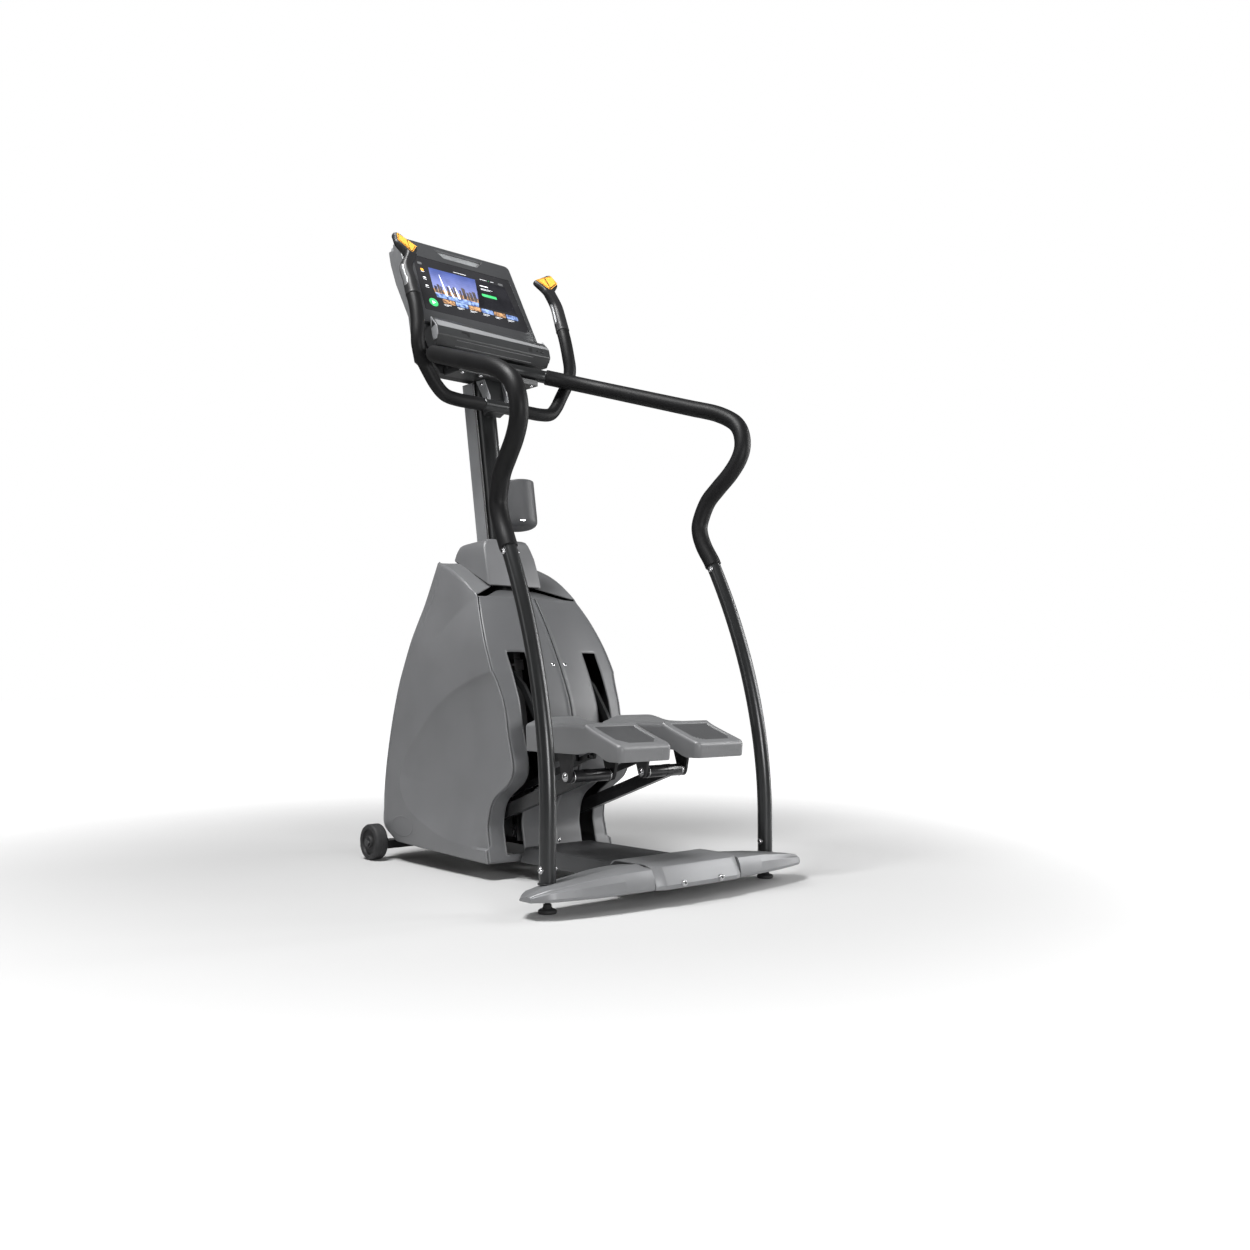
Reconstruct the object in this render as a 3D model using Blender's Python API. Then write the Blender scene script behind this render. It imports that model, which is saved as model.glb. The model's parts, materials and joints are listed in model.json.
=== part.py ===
"""Stair climber (stepper) for a gym: two level pedals on swinging arms, a shrouded drive,
a leaning mast with a touch-screen console, and a pair of handrails.

Units are metres, +Z is up and +Y is the way the user faces. The origin lies on the floor in
the middle of the machine's footprint. Lengths along the machine are written from the rear
levelling feet, because the frame is set out from them, and fwd() turns them into world Y.
"""
import math

import bmesh
import bpy
from mathutils import Matrix, Vector

# ---- driving dimensions -------------------------------------------------------------
REAR_FOOT_Y = -0.4435          # world Y of the rear levelling feet
FOOT_X = 0.36                  # half the spacing of the rear feet and of the uprights
GAP = 0.0003                   # gap kept between pieces that touch
UPRIGHT_R = 0.019              # steel uprights
FOAM_R = 0.0225                # foam-covered handrail
GRIP_TUBE_R = 0.019            # console handlebar
STEP_ANGLE = math.radians(17)  # full travel of a pedal arm

WHEEL_R = 0.051                # transport wheels
WHEEL_AT = (0.965, 0.051)      # forward of the feet, height
WHEEL_X = (0.2165, 0.258)      # inner and outer face

ARM_ROOT = (0.72, 0.078)       # arm's fixed pivot
PEDAL_PIVOT = (0.137, 0.283)   # arm's pedal pivot
ROD_OFFSET = (0.02, 0.045)     # levelling rod's pivots from the arm's pivots
CLAMP_AT = (0.488, 0.556)      # belt clamp at rest

PEDAL_X = (0.042, 0.208)       # pedal's inner and outer edge
ARM_X = (0.127, 0.147)
ROD_X = (0.1025, 0.1105)
BRACKET_X = (0.1128, 0.1222)
PIN_DRIFT = 0.0075             # forward drift of the clamp's pin in the bracket's eye
EYE_R = 0.0062
BELT_X = (0.070, 0.092)

SLOT_X = (0.0985, 0.1515)      # slots in the rear covers that the arms swing in
SLOT_Z = (0.062, 0.59)

MAST_R = 0.030
MAST_FOOT = (0.5481, 0.075)    # mast's centre line at the base beam
MAST_SLOPE = 0.1732            # forward lean, metres per metre of height
MAST_TOP_Z = 1.384

SHROUD_WALL = 0.004
COVER_WALL = 0.003
CONSOLE_TILT = math.radians(27.2)

SIDES = (("left", -1), ("right", 1))

# ---- materials ----------------------------------------------------------------------
COLOURS = {
    "shroud_grey": ((0.16, 0.165, 0.17), 0.45, 0.0),
    "cover_grey": ((0.11, 0.112, 0.115), 0.5, 0.0),
    "pale_grey": ((0.36, 0.37, 0.38), 0.4, 0.2),
    "frame_grey": ((0.09, 0.092, 0.095), 0.35, 0.6),
    "stabilizer_grey": ((0.2, 0.205, 0.21), 0.38, 0.5),
    "foam_black": ((0.02, 0.02, 0.021), 0.8, 0.0),
    "plastic_black": ((0.03, 0.03, 0.032), 0.5, 0.0),
    "steel": ((0.55, 0.55, 0.56), 0.25, 1.0),
    "rubber": ((0.025, 0.025, 0.025), 0.85, 0.0),
    "key_orange": ((0.85, 0.35, 0.03), 0.5, 0.0),
    "glass_black": ((0.01, 0.01, 0.012), 0.1, 0.0),
}


def material(name):
    """Returns the named Principled material, made on first use."""
    found = bpy.data.materials.get(name)
    if found:
        return found
    colour, roughness, metallic = COLOURS[name]
    made = bpy.data.materials.new(name)
    made.use_nodes = True
    shader = made.node_tree.nodes["Principled BSDF"]
    shader.inputs["Base Color"].default_value = (*colour, 1)
    shader.inputs["Roughness"].default_value = roughness
    shader.inputs["Metallic"].default_value = metallic
    return made


# ---- modelling helpers --------------------------------------------------------------
def fwd(distance):
    """World Y of a point this far forward of the rear feet."""
    return REAR_FOOT_Y + distance


def at(x, y, z):
    """World point from x, distance forward of the rear feet and height."""
    return Vector((x, fwd(y), z))


def mast_y(z):
    """Distance of the mast's centre line forward of the feet at height z."""
    return MAST_FOOT[0] + MAST_SLOPE * (z - MAST_FOOT[1])


def add_object(name, bm, look, origin=(0, 0, 0), smooth=35):
    """Makes a named object from world-space geometry, with its origin where asked."""
    bmesh.ops.recalc_face_normals(bm, faces=bm.faces)
    bmesh.ops.translate(bm, verts=bm.verts, vec=-Vector(origin))
    mesh = bpy.data.meshes.new(name)
    bm.to_mesh(mesh)
    bm.free()
    mesh.materials.append(material(look))
    mesh.shade_smooth()
    mesh.set_sharp_from_angle(angle=math.radians(smooth))
    made = bpy.data.objects.new(name, mesh)
    made.location = origin
    bpy.context.scene.collection.objects.link(made)
    return made


def prism(outline, shift):
    """Solid between an outline of world points and the same outline shifted."""
    bm = bmesh.new()
    face = bm.faces.new([bm.verts.new(p) for p in outline])
    grown = bmesh.ops.extrude_face_region(bm, geom=[face])
    moved = [v for v in grown["geom"] if isinstance(v, bmesh.types.BMVert)]
    bmesh.ops.translate(bm, verts=moved, vec=Vector(shift))
    return bm


def side_plate(points, x_from, x_to):
    """Solid with an outline in the side view, from x_from to x_to."""
    return prism([at(x_from, y, z) for y, z in points], (x_to - x_from, 0, 0))


def box(x_range, y_range, z_range):
    """Box between ranges of x, distance forward of the feet, and height."""
    (y0, y1), (z0, z1) = y_range, z_range
    return side_plate([(y0, z0), (y1, z0), (y1, z1), (y0, z1)], x_range[0], x_range[1])


def lathe(profile, centre, axis, steps=24):
    """Solid of revolution: profile is (radius, distance along axis) from centre."""
    axis = Vector(axis).normalized()
    across = axis.orthogonal().normalized()
    bm = bmesh.new()
    verts = [bm.verts.new(Vector(centre) + across * r + axis * h) for r, h in profile]
    edges = [bm.edges.new(pair) for pair in zip(verts, verts[1:])]
    if profile[0][0] > 0 and profile[-1][0] > 0:
        edges.append(bm.edges.new((verts[-1], verts[0])))
    bmesh.ops.spin(bm, geom=verts + edges, cent=centre, axis=axis, angle=2 * math.pi,
                   steps=steps, use_merge=True, use_duplicate=False)
    bmesh.ops.remove_doubles(bm, verts=bm.verts, dist=1e-6)
    return bm


def rod(start, end, radius, steps=16):
    """Plain round bar between two points."""
    start, end = Vector(start), Vector(end)
    length = (end - start).length
    return lathe([(0, 0), (radius, 0), (radius, length), (0, length)], start, end - start, steps)


def boolean(target, tool, operation="DIFFERENCE"):
    """Cuts or joins tool, a bmesh in world space, with a Boolean modifier on target."""
    kind = "cutter" if operation == "DIFFERENCE" else "addition"
    helper = add_object(f"{target.name}_{kind}_{len(target.modifiers)}", tool, "steel")
    helper.hide_render = True
    helper.display_type = "WIRE"
    helper.hide_set(True)
    modifier = target.modifiers.new(helper.name, "BOOLEAN")
    modifier.operation = operation
    modifier.object = helper
    modifier.solver = "EXACT"


def loft(rings, closed=False):
    """Skins rings of equal length; closed joins the last ring to the first."""
    bm = bmesh.new()
    made = [[bm.verts.new(p) for p in ring] for ring in rings]
    pairs = list(zip(made, made[1:]))
    if closed:
        pairs.append((made[-1], made[0]))
    for low, high in pairs:
        for i in range(len(low)):
            j = (i + 1) % len(low)
            bm.faces.new((low[i], low[j], high[j], high[i]))
    if not closed:
        bm.faces.new(made[0])
        bm.faces.new(made[-1])
    return bm


def sheet(rows, keep=lambda row, column: True):
    """Open surface through a grid of points, leaving out cells that keep() refuses."""
    bm = bmesh.new()
    made = [[bm.verts.new(p) for p in row] for row in rows]
    for i in range(len(made) - 1):
        for j in range(len(made[i]) - 1):
            if keep(i, j):
                bm.faces.new((made[i][j], made[i][j + 1], made[i + 1][j + 1], made[i + 1][j]))
    bmesh.ops.delete(bm, geom=[v for v in bm.verts if not v.link_faces], context="VERTS")
    return bm


def thicken(target, wall, even=True):
    """Gives an open surface a wall on its inner side; even keeps the wall's width at folds."""
    modifier = target.modifiers.new("wall", "SOLIDIFY")
    modifier.thickness = wall
    modifier.offset = -1
    modifier.use_rim = True
    modifier.use_even_offset = even


def smooth_path(points, steps):
    """Points on a Catmull-Rom curve through the given points."""
    points = [Vector(p) for p in points]
    ends = [2 * points[0] - points[1], *points, 2 * points[-1] - points[-2]]
    path = []
    for a, b, c, d in zip(ends, ends[1:], ends[2:], ends[3:]):
        for i in range(steps):
            t = i / steps
            path.append(0.5 * ((2 * b) + (c - a) * t + (2 * a - 5 * b + 4 * c - d) * t ** 2
                               + (3 * b - a - 3 * c + d) * t ** 3))
    path.append(points[-1])
    return path


def pipe(name, path, radius, look, resolution=4):
    """Round tube along a path, as a curve with a bevel and filled caps."""
    curve = bpy.data.curves.new(name, "CURVE")
    curve.dimensions = "3D"
    curve.bevel_depth = radius
    curve.bevel_resolution = resolution
    curve.use_fill_caps = True
    spline = curve.splines.new("POLY")
    spline.points.add(len(path) - 1)
    for point, place in zip(spline.points, path):
        point.co = (*place, 1)
    curve.materials.append(material(look))
    made = bpy.data.objects.new(name, curve)
    bpy.context.scene.collection.objects.link(made)
    return made


def mirrored(points, sign):
    """The points with x on the chosen side."""
    return [Vector((sign * p[0], p[1], p[2])) for p in points]


def turned(point, pivot, angle):
    """Side-view point turned about a side-view pivot, positive from +Y towards +Z."""
    dy, dz = point[0] - pivot[0], point[1] - pivot[1]
    c, s = math.cos(angle), math.sin(angle)
    return (pivot[0] + dy * c - dz * s, pivot[1] + dy * s + dz * c)


def arc(centre, radius, start, end, steps):
    """Side-view points on an arc; angles in degrees from +Y towards +Z."""
    points = []
    for i in range(steps + 1):
        angle = math.radians(start + (end - start) * i / steps)
        points.append((centre[0] + radius * math.cos(angle), centre[1] + radius * math.sin(angle)))
    return points


def bar_outline(start, end, half_height, round_steps=5):
    """Side-view outline of a bar with round ends between two points."""
    angle = math.degrees(math.atan2(end[1] - start[1], end[0] - start[0]))
    return (arc(end, half_height, angle - 90, angle + 90, round_steps)
            + arc(start, half_height, angle + 90, angle + 270, round_steps))


# ---- base ---------------------------------------------------------------------------
def wing_section(x, rear, front, top):
    """Section of a stabilizer wing at one x: a steep rear face, then a ridge along its top."""
    ridge = rear + 0.4 * (front - rear)
    points = [(rear, 0.038), (rear - 0.002, 0.050), (rear + 0.011, top - 0.006), (ridge, top),
              (front - 0.012, top - 0.010), (front, min(0.052, top - 0.002)), (front, 0.038)]
    return [at(x, y, z) for y, z in points]


def make_stabilizers():
    """Rear crossbar: two cast wings and the cap over their joint."""
    sections = [(0.146, -0.115, 0.044, 0.092), (0.24, -0.108, 0.044, 0.087),
                (0.33, -0.094, 0.042, 0.077), (0.404, -0.075, 0.032, 0.066),
                (0.445, -0.040, -0.012, 0.050)]
    for side, sign in SIDES:
        rings = [wing_section(sign * x, rear, front, top) for x, rear, front, top in sections]
        wing = add_object(f"stabilizer_{side}", loft(rings), "stabilizer_grey", smooth=25)
        boolean(wing, rod(at(sign * FOOT_X, 0, 0.045), at(sign * FOOT_X, 0, 0.12), 0.0196, 24))
    rings = []
    for x, grow in ((-0.141, 0.0), (-0.116, 0.012), (0.116, 0.012), (0.141, 0.0)):
        points = [(-0.117 - grow, 0.038), (-0.117 - grow, 0.050), (-0.098 - grow, 0.089),
                  (-0.080, 0.0945), (0.030, 0.094), (0.0445, 0.078), (0.0445, 0.038)]
        rings.append([at(x, y, z) for y, z in points])
    cap = add_object("stabilizer_cap", loft(rings), "stabilizer_grey", smooth=25)
    boolean(cap, box((-0.042, 0.042), (-0.032, 0.06), (0.02, 0.0765)))


def make_feet():
    """Levelling feet: rubber-soled pad, nut and stem."""
    profile = [(0, 0), (0.020, 0), (0.0212, 0.004), (0.019, 0.009), (0.0105, 0.0125),
               (0.0105, 0.0215), (0.0063, 0.0215), (0.0063, 0.038 - GAP), (0, 0.038 - GAP)]
    for side, sign in SIDES:
        centre = at(sign * FOOT_X, 0, 0)
        add_object(f"leveling_foot_{side}", lathe(profile, centre, (0, 0, 1), 16), "rubber",
                   origin=centre)


def make_main_frame():
    """Base beam with the pivot shafts, the belt drums' post and the alternator's post."""
    beam = box((-0.04, 0.04), (-0.030, 0.9446), (0.040, 0.0702))
    frame = add_object("main_frame", beam, "frame_grey")
    root_y, root_z = ARM_ROOT
    rod_y, rod_z = root_y + ROD_OFFSET[0], root_z + ROD_OFFSET[1]
    drum_y, drum_z = belt_drum()
    additions = [
        rod(at(-0.152, root_y, root_z), at(0.152, root_y, root_z), 0.010),
        rod(at(-0.113, rod_y, rod_z), at(0.113, rod_y, rod_z), 0.006),
        box((-0.034, 0.034), (0.665, 0.765), (0.06, 0.140)),
        box((-0.026, 0.026), (0.668, 0.732), (0.13, 0.3922)),
        box((-0.018, 0.018), (drum_y - 0.020, drum_y + 0.020), (0.06, drum_z + 0.018)),
        lathe(drum_profile(), at(0, drum_y, drum_z), (1, 0, 0), 18),
    ]
    for addition in additions:
        boolean(frame, addition, "UNION")


def drum_profile():
    """Profile of the shaft with the two fixed drums that the belts run around."""
    shaft_r, drum_r = 0.010, BELT_RADIUS - 0.0015 - GAP
    inner, outer = BELT_X
    half = [(shaft_r, inner), (drum_r, inner), (drum_r, outer), (shaft_r, outer), (shaft_r, 0.098)]
    other = [(r, -x) for r, x in reversed(half)]
    return [(0, -0.098), *other, *half, (0, 0.098)]


def make_front_axle():
    """Front crossbar and the stub axles that the transport wheels turn on."""
    wheel_y, wheel_z = WHEEL_AT
    bar = box((-0.200, 0.200), (0.945, 0.985), (0.030, 0.053))
    axle = add_object("front_crossbar", bar, "frame_grey")
    for sign in (-1, 1):
        stub = [(0, 0), (0.0075, 0), (0.0075, 0.0655), (0.0115, 0.0655), (0.0105, 0.0695),
                (0, 0.0695)]
        boolean(axle, lathe(stub, at(sign * 0.193, wheel_y, wheel_z), (sign, 0, 0), 16), "UNION")
    for side, sign in SIDES:
        inner, outer = WHEEL_X
        profile = [(0.0082, 0), (0.028, 0), (0.034, 0.002), (0.047, 0.002), (WHEEL_R, 0.006),
                   (WHEEL_R, 0.034), (0.047, 0.0395), (0.036, 0.0395), (0.034, 0.0335),
                   (0.018, 0.0335), (0.017, outer - inner - 0.0005), (0.0082, outer - inner - 0.0005)]
        centre = at(sign * inner, wheel_y, wheel_z)
        add_object(f"transport_wheel_{side}", lathe(profile, centre, (sign, 0, 0), 24), "rubber",
                   origin=centre)


def make_base_cover():
    """Channel-shaped cover over the base beam, from the shroud to the stabilizer."""
    outer = [(-0.126, 0.042), (-0.108, 0.080), (0.108, 0.080), (0.126, 0.042)]
    inner = [(0.1225, 0.042), (0.1065, 0.0765), (-0.1065, 0.0765), (-0.1225, 0.042)]
    start = 0.0452
    points = [at(x, start, z) for x, z in outer + inner]
    add_object("base_cover", prism(points, (0, 0.413 - start, 0)), "cover_grey")


# ---- shroud -------------------------------------------------------------------------
REAR_EDGE = [(0.4365, 0.043), (0.450, 0.100), (0.457, 0.145), (0.437, 0.204), (0.368, 0.255),
             (0.354, 0.300), (0.3755, 0.378), (0.3905, 0.447), (0.4075, 0.492), (0.4285, 0.537),
             (0.4655, 0.607), (0.509, 0.680), (0.5537, 0.745)]
FRONT_EDGE = [(0.900, 0.057), (0.960, 0.096), (0.963, 0.150), (0.962, 0.212), (0.955, 0.280),
              (0.941, 0.356), (0.925, 0.425), (0.904, 0.499), (0.880, 0.560), (0.850, 0.625),
              (0.826, 0.675), (0.795, 0.735), (0.745, 0.844)]
HALF_WIDTHS = [0.2130, 0.2120, 0.2105, 0.2085, 0.2070, 0.2060, 0.2050, 0.2050, 0.2060, 0.2105,
               0.2065, 0.1928, 0.1735]
FRONT_CORNER_R = 0.070


def shroud_row(rear, front, half_width, sign):
    """One level of a side shell: back along the side, round the corner, to the middle."""
    (rear_y, rear_z), (front_y, front_z) = rear, front
    corner = front_y - 0.024
    radius = FRONT_CORNER_R
    outline = [(half_width, rear_y), (half_width + 0.001, rear_y + 0.35 * (corner - rear_y)),
               (half_width, rear_y + 0.7 * (corner - rear_y)), (half_width - 0.002, corner)]
    for degrees in (25, 50, 75):
        turn = math.radians(degrees)
        outline.append((half_width - 0.002 - radius * (1 - math.cos(turn)),
                        corner + radius * math.sin(turn)))
    outline += [(0.6 * (half_width - radius), corner + radius + 0.003), (GAP, corner + radius + 0.006)]
    row = []
    for x, y in outline:
        share = min(max((y - rear_y) / (front_y - rear_y), 0), 1)
        row.append(at(sign * x, y, rear_z + share * (front_z - rear_z)))
    return row


def make_shrouds():
    """Left and right side shells, each with the half of the front and of the top deck."""
    for side, sign in SIDES:
        rows = [shroud_row(rear, front, width, sign)
                for rear, front, width in zip(REAR_EDGE, FRONT_EDGE, HALF_WIDTHS)]
        deck = [(0.078, 0.616, 0.778), (0.078, 0.670, 0.806), (0.078, 0.715, 0.829),
                (0.078, 0.742, 0.842), (0.070, 0.758, 0.849), (0.058, 0.766, 0.853),
                (0.045, 0.771, 0.855), (0.024, 0.773, 0.856), (GAP, 0.774, 0.856)]
        rows.append([at(sign * x, y, z) for x, y, z in deck])
        shell = add_object(f"shroud_{side}", sheet(rows), "shroud_grey", smooth=50)
        thicken(shell, SHROUD_WALL)


def rear_cover_point(x, edge, half_width, sign):
    """Point of a rear cover: it bulges backwards towards the middle of the machine."""
    bulge = min(0.0155 + 0.040 * (edge[1] - 0.04), 0.029) * (1 - (x / half_width) ** 2)
    return at(sign * x, edge[0] + 0.001 - bulge, edge[1])


def make_rear_covers():
    """Two rear covers that meet at a seam, each with the slot that a pedal arm swings in."""
    levels = [(REAR_EDGE[0], HALF_WIDTHS[0]), ((0.441, SLOT_Z[0]), 0.2125), ((0.446, 0.078), 0.2120)]
    levels += list(zip(REAR_EDGE, HALF_WIDTHS))[2:10]
    levels += [((0.456, SLOT_Z[1]), 0.2080), (REAR_EDGE[11], HALF_WIDTHS[11]),
               ((0.549, 0.739), HALF_WIDTHS[12])]
    slot_rows = range(1, 11)
    for side, sign in SIDES:
        rows = []
        for edge, width in levels:
            inner = width - SHROUD_WALL - 0.0025
            columns = (GAP, 0.05, *SLOT_X, inner)
            rows.append([rear_cover_point(x, edge, width, sign) for x in columns])
        inner = HALF_WIDTHS[12] - SHROUD_WALL - 0.0025
        top = [(GAP, 0.560, 0.765), (0.05, 0.560, 0.764), (SLOT_X[0], 0.560, 0.760),
               (SLOT_X[1], 0.556, 0.751), (inner - 0.003, 0.5525, 0.7425)]
        back = [(GAP, 0.604, 0.766), (0.05, 0.604, 0.766), (SLOT_X[0] - 0.014, 0.596, 0.762),
                (0.130, 0.574, 0.751), (inner - 0.012, 0.5550, 0.7410)]
        rows.append([at(sign * x, y, z) for x, y, z in top])
        rows.append([at(sign * x, y, z) for x, y, z in back])

        def keep(row, column):
            in_slot = column == 2 and row in slot_rows
            under_beam = column < 2 and row < 2
            return not in_slot and not under_beam

        cover = add_object(f"rear_cover_{side}", sheet(rows, keep), "cover_grey", smooth=40)
        thicken(cover, COVER_WALL, even=False)


def rounded_ring(half_width, rear, front, z_rear, z_front, corner):
    """Ring seen from above: a rounded rectangle on a plane that slopes from rear to front."""
    ring = []
    corners = [(1, rear, 270), (1, front, 0), (-1, front, 90), (-1, rear, 180)]
    for side, y, start in corners:
        centre_x = side * (half_width - corner)
        centre_y = y + corner if y == rear else y - corner
        for i in range(4):
            turn = math.radians(start + 30 * i)
            x = centre_x + corner * math.cos(turn)
            place = centre_y + corner * math.sin(turn)
            share = (place - rear) / (front - rear)
            ring.append(at(x, place, z_rear + share * (z_front - z_rear)))
    return ring


def make_neck_cover():
    """Hood that closes the shroud around the foot of the mast."""
    rings = [
        rounded_ring(0.092, 0.607, 0.782, 0.7795, 0.8605, 0.022),
        rounded_ring(0.080, 0.622, 0.772, 0.838, 0.890, 0.022),
        rounded_ring(0.064, 0.640, 0.762, 0.872, 0.913, 0.020),
        rounded_ring(0.0385, 0.6485, 0.7575, 0.882, 0.912, 0.012),
        rounded_ring(0.0385, 0.6485, 0.7575, 0.878, 0.908, 0.012),
        rounded_ring(0.060, 0.645, 0.758, 0.868, 0.909, 0.018),
        rounded_ring(0.076, 0.627, 0.768, 0.836, 0.886, 0.018),
        rounded_ring(0.088, 0.612, 0.778, 0.7835, 0.8585, 0.018),
    ]
    add_object("neck_cover", loft(rings, closed=True), "shroud_grey", smooth=30)


# ---- mast and console ---------------------------------------------------------------
def make_mast():
    """Round mast with the drive shaft's bearing block, and its channel-shaped front cover."""
    foot_z = MAST_FOOT[1] + 0.0005
    low = at(0, mast_y(foot_z), foot_z)
    high = at(0, mast_y(MAST_TOP_Z), MAST_TOP_Z)
    mast = add_object("mast_tube", rod(low, high, MAST_R, 20), "frame_grey")
    shaft_y, shaft_z = belt_pulley()
    block = box((-0.024, 0.024), (shaft_y - 0.016, mast_y(shaft_z)), (shaft_z - 0.022, shaft_z + 0.022))
    boolean(mast, block, "UNION")
    boolean(mast, rod(at(-0.05, shaft_y, shaft_z), at(0.05, shaft_y, shaft_z), 0.0096, 20))
    start_z, end_z = 0.870, 1.385
    walls = [(0.0352, 0), (0.0352, 0.056), (0.030, 0.0625), (-0.030, 0.0625), (-0.0352, 0.056),
             (-0.0352, 0), (-0.0312, 0), (-0.0312, 0.0545), (-0.028, 0.0585), (0.028, 0.0585),
             (0.0312, 0.0545), (0.0312, 0)]
    outline = [at(x, mast_y(start_z) + y, start_z) for x, y in walls]
    rise = end_z - start_z
    add_object("mast_cover", prism(outline, (0, MAST_SLOPE * rise, rise)), "pale_grey", smooth=20)


def make_cup_holder():
    """Round bottle holder on the rear of the mast."""
    lean = Vector((0, MAST_SLOPE, 1)).normalized()
    base = at(0, 0.586, 0.940)
    profile = [(0, 0), (0.036, 0), (0.046, 0.006), (0.0495, 0.016), (0.0495, 0.130),
               (0.0462, 0.130), (0.0462, 0.018), (0.043, 0.0095), (0.034, 0.004), (0, 0.004)]
    holder = add_object("cup_holder", lathe(profile, base, lean, 20), "cover_grey")
    strut = [(0.6395, 0.985), (0.6755, 0.990), (0.6847, 1.0415), (0.6485, 1.0365)]
    boolean(holder, side_plate(strut, -0.016, 0.016), "UNION")


FACE_LOW = (0.7605, 1.516)     # foot of the console's front plane


def on_face(up, back=0.0):
    """Side-view point on the console's front plane: up along it and back behind it."""
    s, c = math.sin(CONSOLE_TILT), math.cos(CONSOLE_TILT)
    return (FACE_LOW[0] + up * s + back * c, FACE_LOW[1] + up * c - back * s)


def face_frame(half_width, low, high, thickness, back):
    """Plate parallel to the console's front plane."""
    points = [on_face(low, back), on_face(high, back), on_face(high, back + thickness),
              on_face(low, back + thickness)]
    return side_plate(points, -half_width, half_width)


BEZEL_TOP = 0.332              # height of the bezel along the console's face
GLASS = (0.190, 0.066, 0.268)  # glass half width, lower and upper edge along the face
FAN = (0.066, 0.296, 0.3195)   # fan grille half width, lower and upper edge


def make_console():
    """Console: housing, bezel, glass, fan grille and accessory tray."""
    depth = 0.012
    behind = depth + GAP
    outline_top = [on_face(0.020, behind), on_face(BEZEL_TOP, behind), on_face(BEZEL_TOP + 0.008, 0.022),
                   (0.9805, 1.803), (0.966, 1.745), (0.934, 1.676), (0.860, 1.558),
                   (0.842, 1.478), (0.786, 1.478)]
    housing = add_object("console_housing", side_plate(outline_top, -0.203, 0.203), "cover_grey")
    lower = []
    for x, y0, y1, z in ((0.150, 0.772, 0.832, 1.392), (0.190, 0.768, 0.846, 1.430),
                         (0.198, 0.788, 0.852, 1.482)):
        lower.append([at(-x, y0, z), at(x, y0, z), at(x, y1, z), at(-x, y1, z)])
    boolean(housing, loft(lower), "UNION")
    bezel = add_object("console_bezel", face_frame(0.205, 0.018, BEZEL_TOP, depth, 0), "plastic_black")
    boolean(bezel, face_frame(GLASS[0] + GAP, GLASS[1] - GAP, GLASS[2] + GAP, 0.02, -0.005))
    boolean(bezel, face_frame(FAN[0] + GAP, FAN[1] - GAP, FAN[2] + GAP, 0.02, -0.005))
    add_object("screen_glass", face_frame(GLASS[0], GLASS[1], GLASS[2], depth - 0.002, 0.001),
               "glass_black")
    add_object("fan_grille", face_frame(FAN[0], FAN[1], FAN[2], depth - 0.002, 0.001), "pale_grey")
    tray = [(0.7205, 1.4560), (0.7045, 1.4840), (0.7115, 1.5080), (0.7435, 1.5395), (0.7505, 1.5340),
            (0.7500, 1.5130), (0.7690, 1.5130), (0.7815, 1.5000), (0.7815, 1.4890), (0.7600, 1.4560)]
    add_object("accessory_tray", side_plate(tray, -0.200, 0.200), "cover_grey")


def make_console_bracket():
    """Bracket on the mast's head that carries the console, the handrail and the handlebar."""
    head = [(0.7060, 1.2880), (0.7280, 1.2800), (0.7440, 1.3900), (0.7260, 1.3920),
            (0.7075, 1.3300)]
    bracket = add_object("console_bracket", side_plate(head, -0.030, 0.030), "frame_grey")
    saddle = side_plate([(0.690, 1.3855), (0.767, 1.3855), (0.767, 1.4032), (0.690, 1.4032)],
                        -0.140, 0.140)
    boolean(bracket, saddle, "UNION")
    riser = side_plate([(0.7485, 1.395), (0.767, 1.395), (0.767, 1.4540), (0.7485, 1.4540)],
                       -0.140, 0.140)
    boolean(bracket, riser, "UNION")
    low, high = at(0, mast_y(1.25), 1.25), at(0, mast_y(MAST_TOP_Z + 0.02), MAST_TOP_Z + 0.02)
    boolean(bracket, rod(low, high, MAST_R + GAP, 20))


# ---- handrails ----------------------------------------------------------------------
RAIL_SLOPE = 0.322             # rise of the rail's plane, metres per metre forward


def rail_z(y):
    """Height of the handrail's sloping plane at a distance forward of the feet."""
    return 1.1955 + RAIL_SLOPE * y


def upright_path():
    """Centre line of the right upright: straight, then an even curve forward."""
    path = [at(FOOT_X, 0, 0.0455), at(FOOT_X, 0, 0.11), at(FOOT_X, 0, 0.18)]
    steps = 9
    for i in range(1, steps + 1):
        z = 0.18 + (0.8297 - 0.18) * i / steps
        path.append(at(FOOT_X - 0.0143 * i / steps, 0.4045 * (z - 0.18) ** 2, z))
    return path


def grip_path():
    """Centre line of the right handrail grip, from the upright to the middle section."""
    foot, nearly = upright_path()[-1], upright_path()[-2]
    ahead = (foot - nearly).normalized()
    lower = [(0.3415, 0.2020, 0.8840), (0.3408, 0.2165, 0.9240),
             (0.3430, 0.2150, 0.9560), (0.3490, 0.1940, 1.0050), (0.3560, 0.1610, 1.0400),
             (0.3640, 0.1260, 1.0740), (0.3710, 0.1010, 1.1080), (0.3765, 0.0900, 1.1400),
             (0.3800, 0.0920, 1.1720), (0.3820, 0.1050, 1.2020), (0.3830, 0.1330, 1.2280)]
    start = [foot + ahead * 0.0006, foot + ahead * 0.012]
    path = start[:1] + smooth_path(start[1:] + [at(*p) for p in lower], 2)
    bend = 0.250
    centre_x, centre_y = 0.066, 0.469
    rail = [(0.3780, 0.190), (0.3640, 0.270), (0.3480, 0.360)]
    for degrees in (10, 24, 38, 52, 65):
        turn = math.radians(degrees)
        rail.append((centre_x + bend * math.cos(turn), centre_y + bend * math.sin(turn)))
    return path + [at(x, y, rail_z(y)) for x, y in rail]


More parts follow.
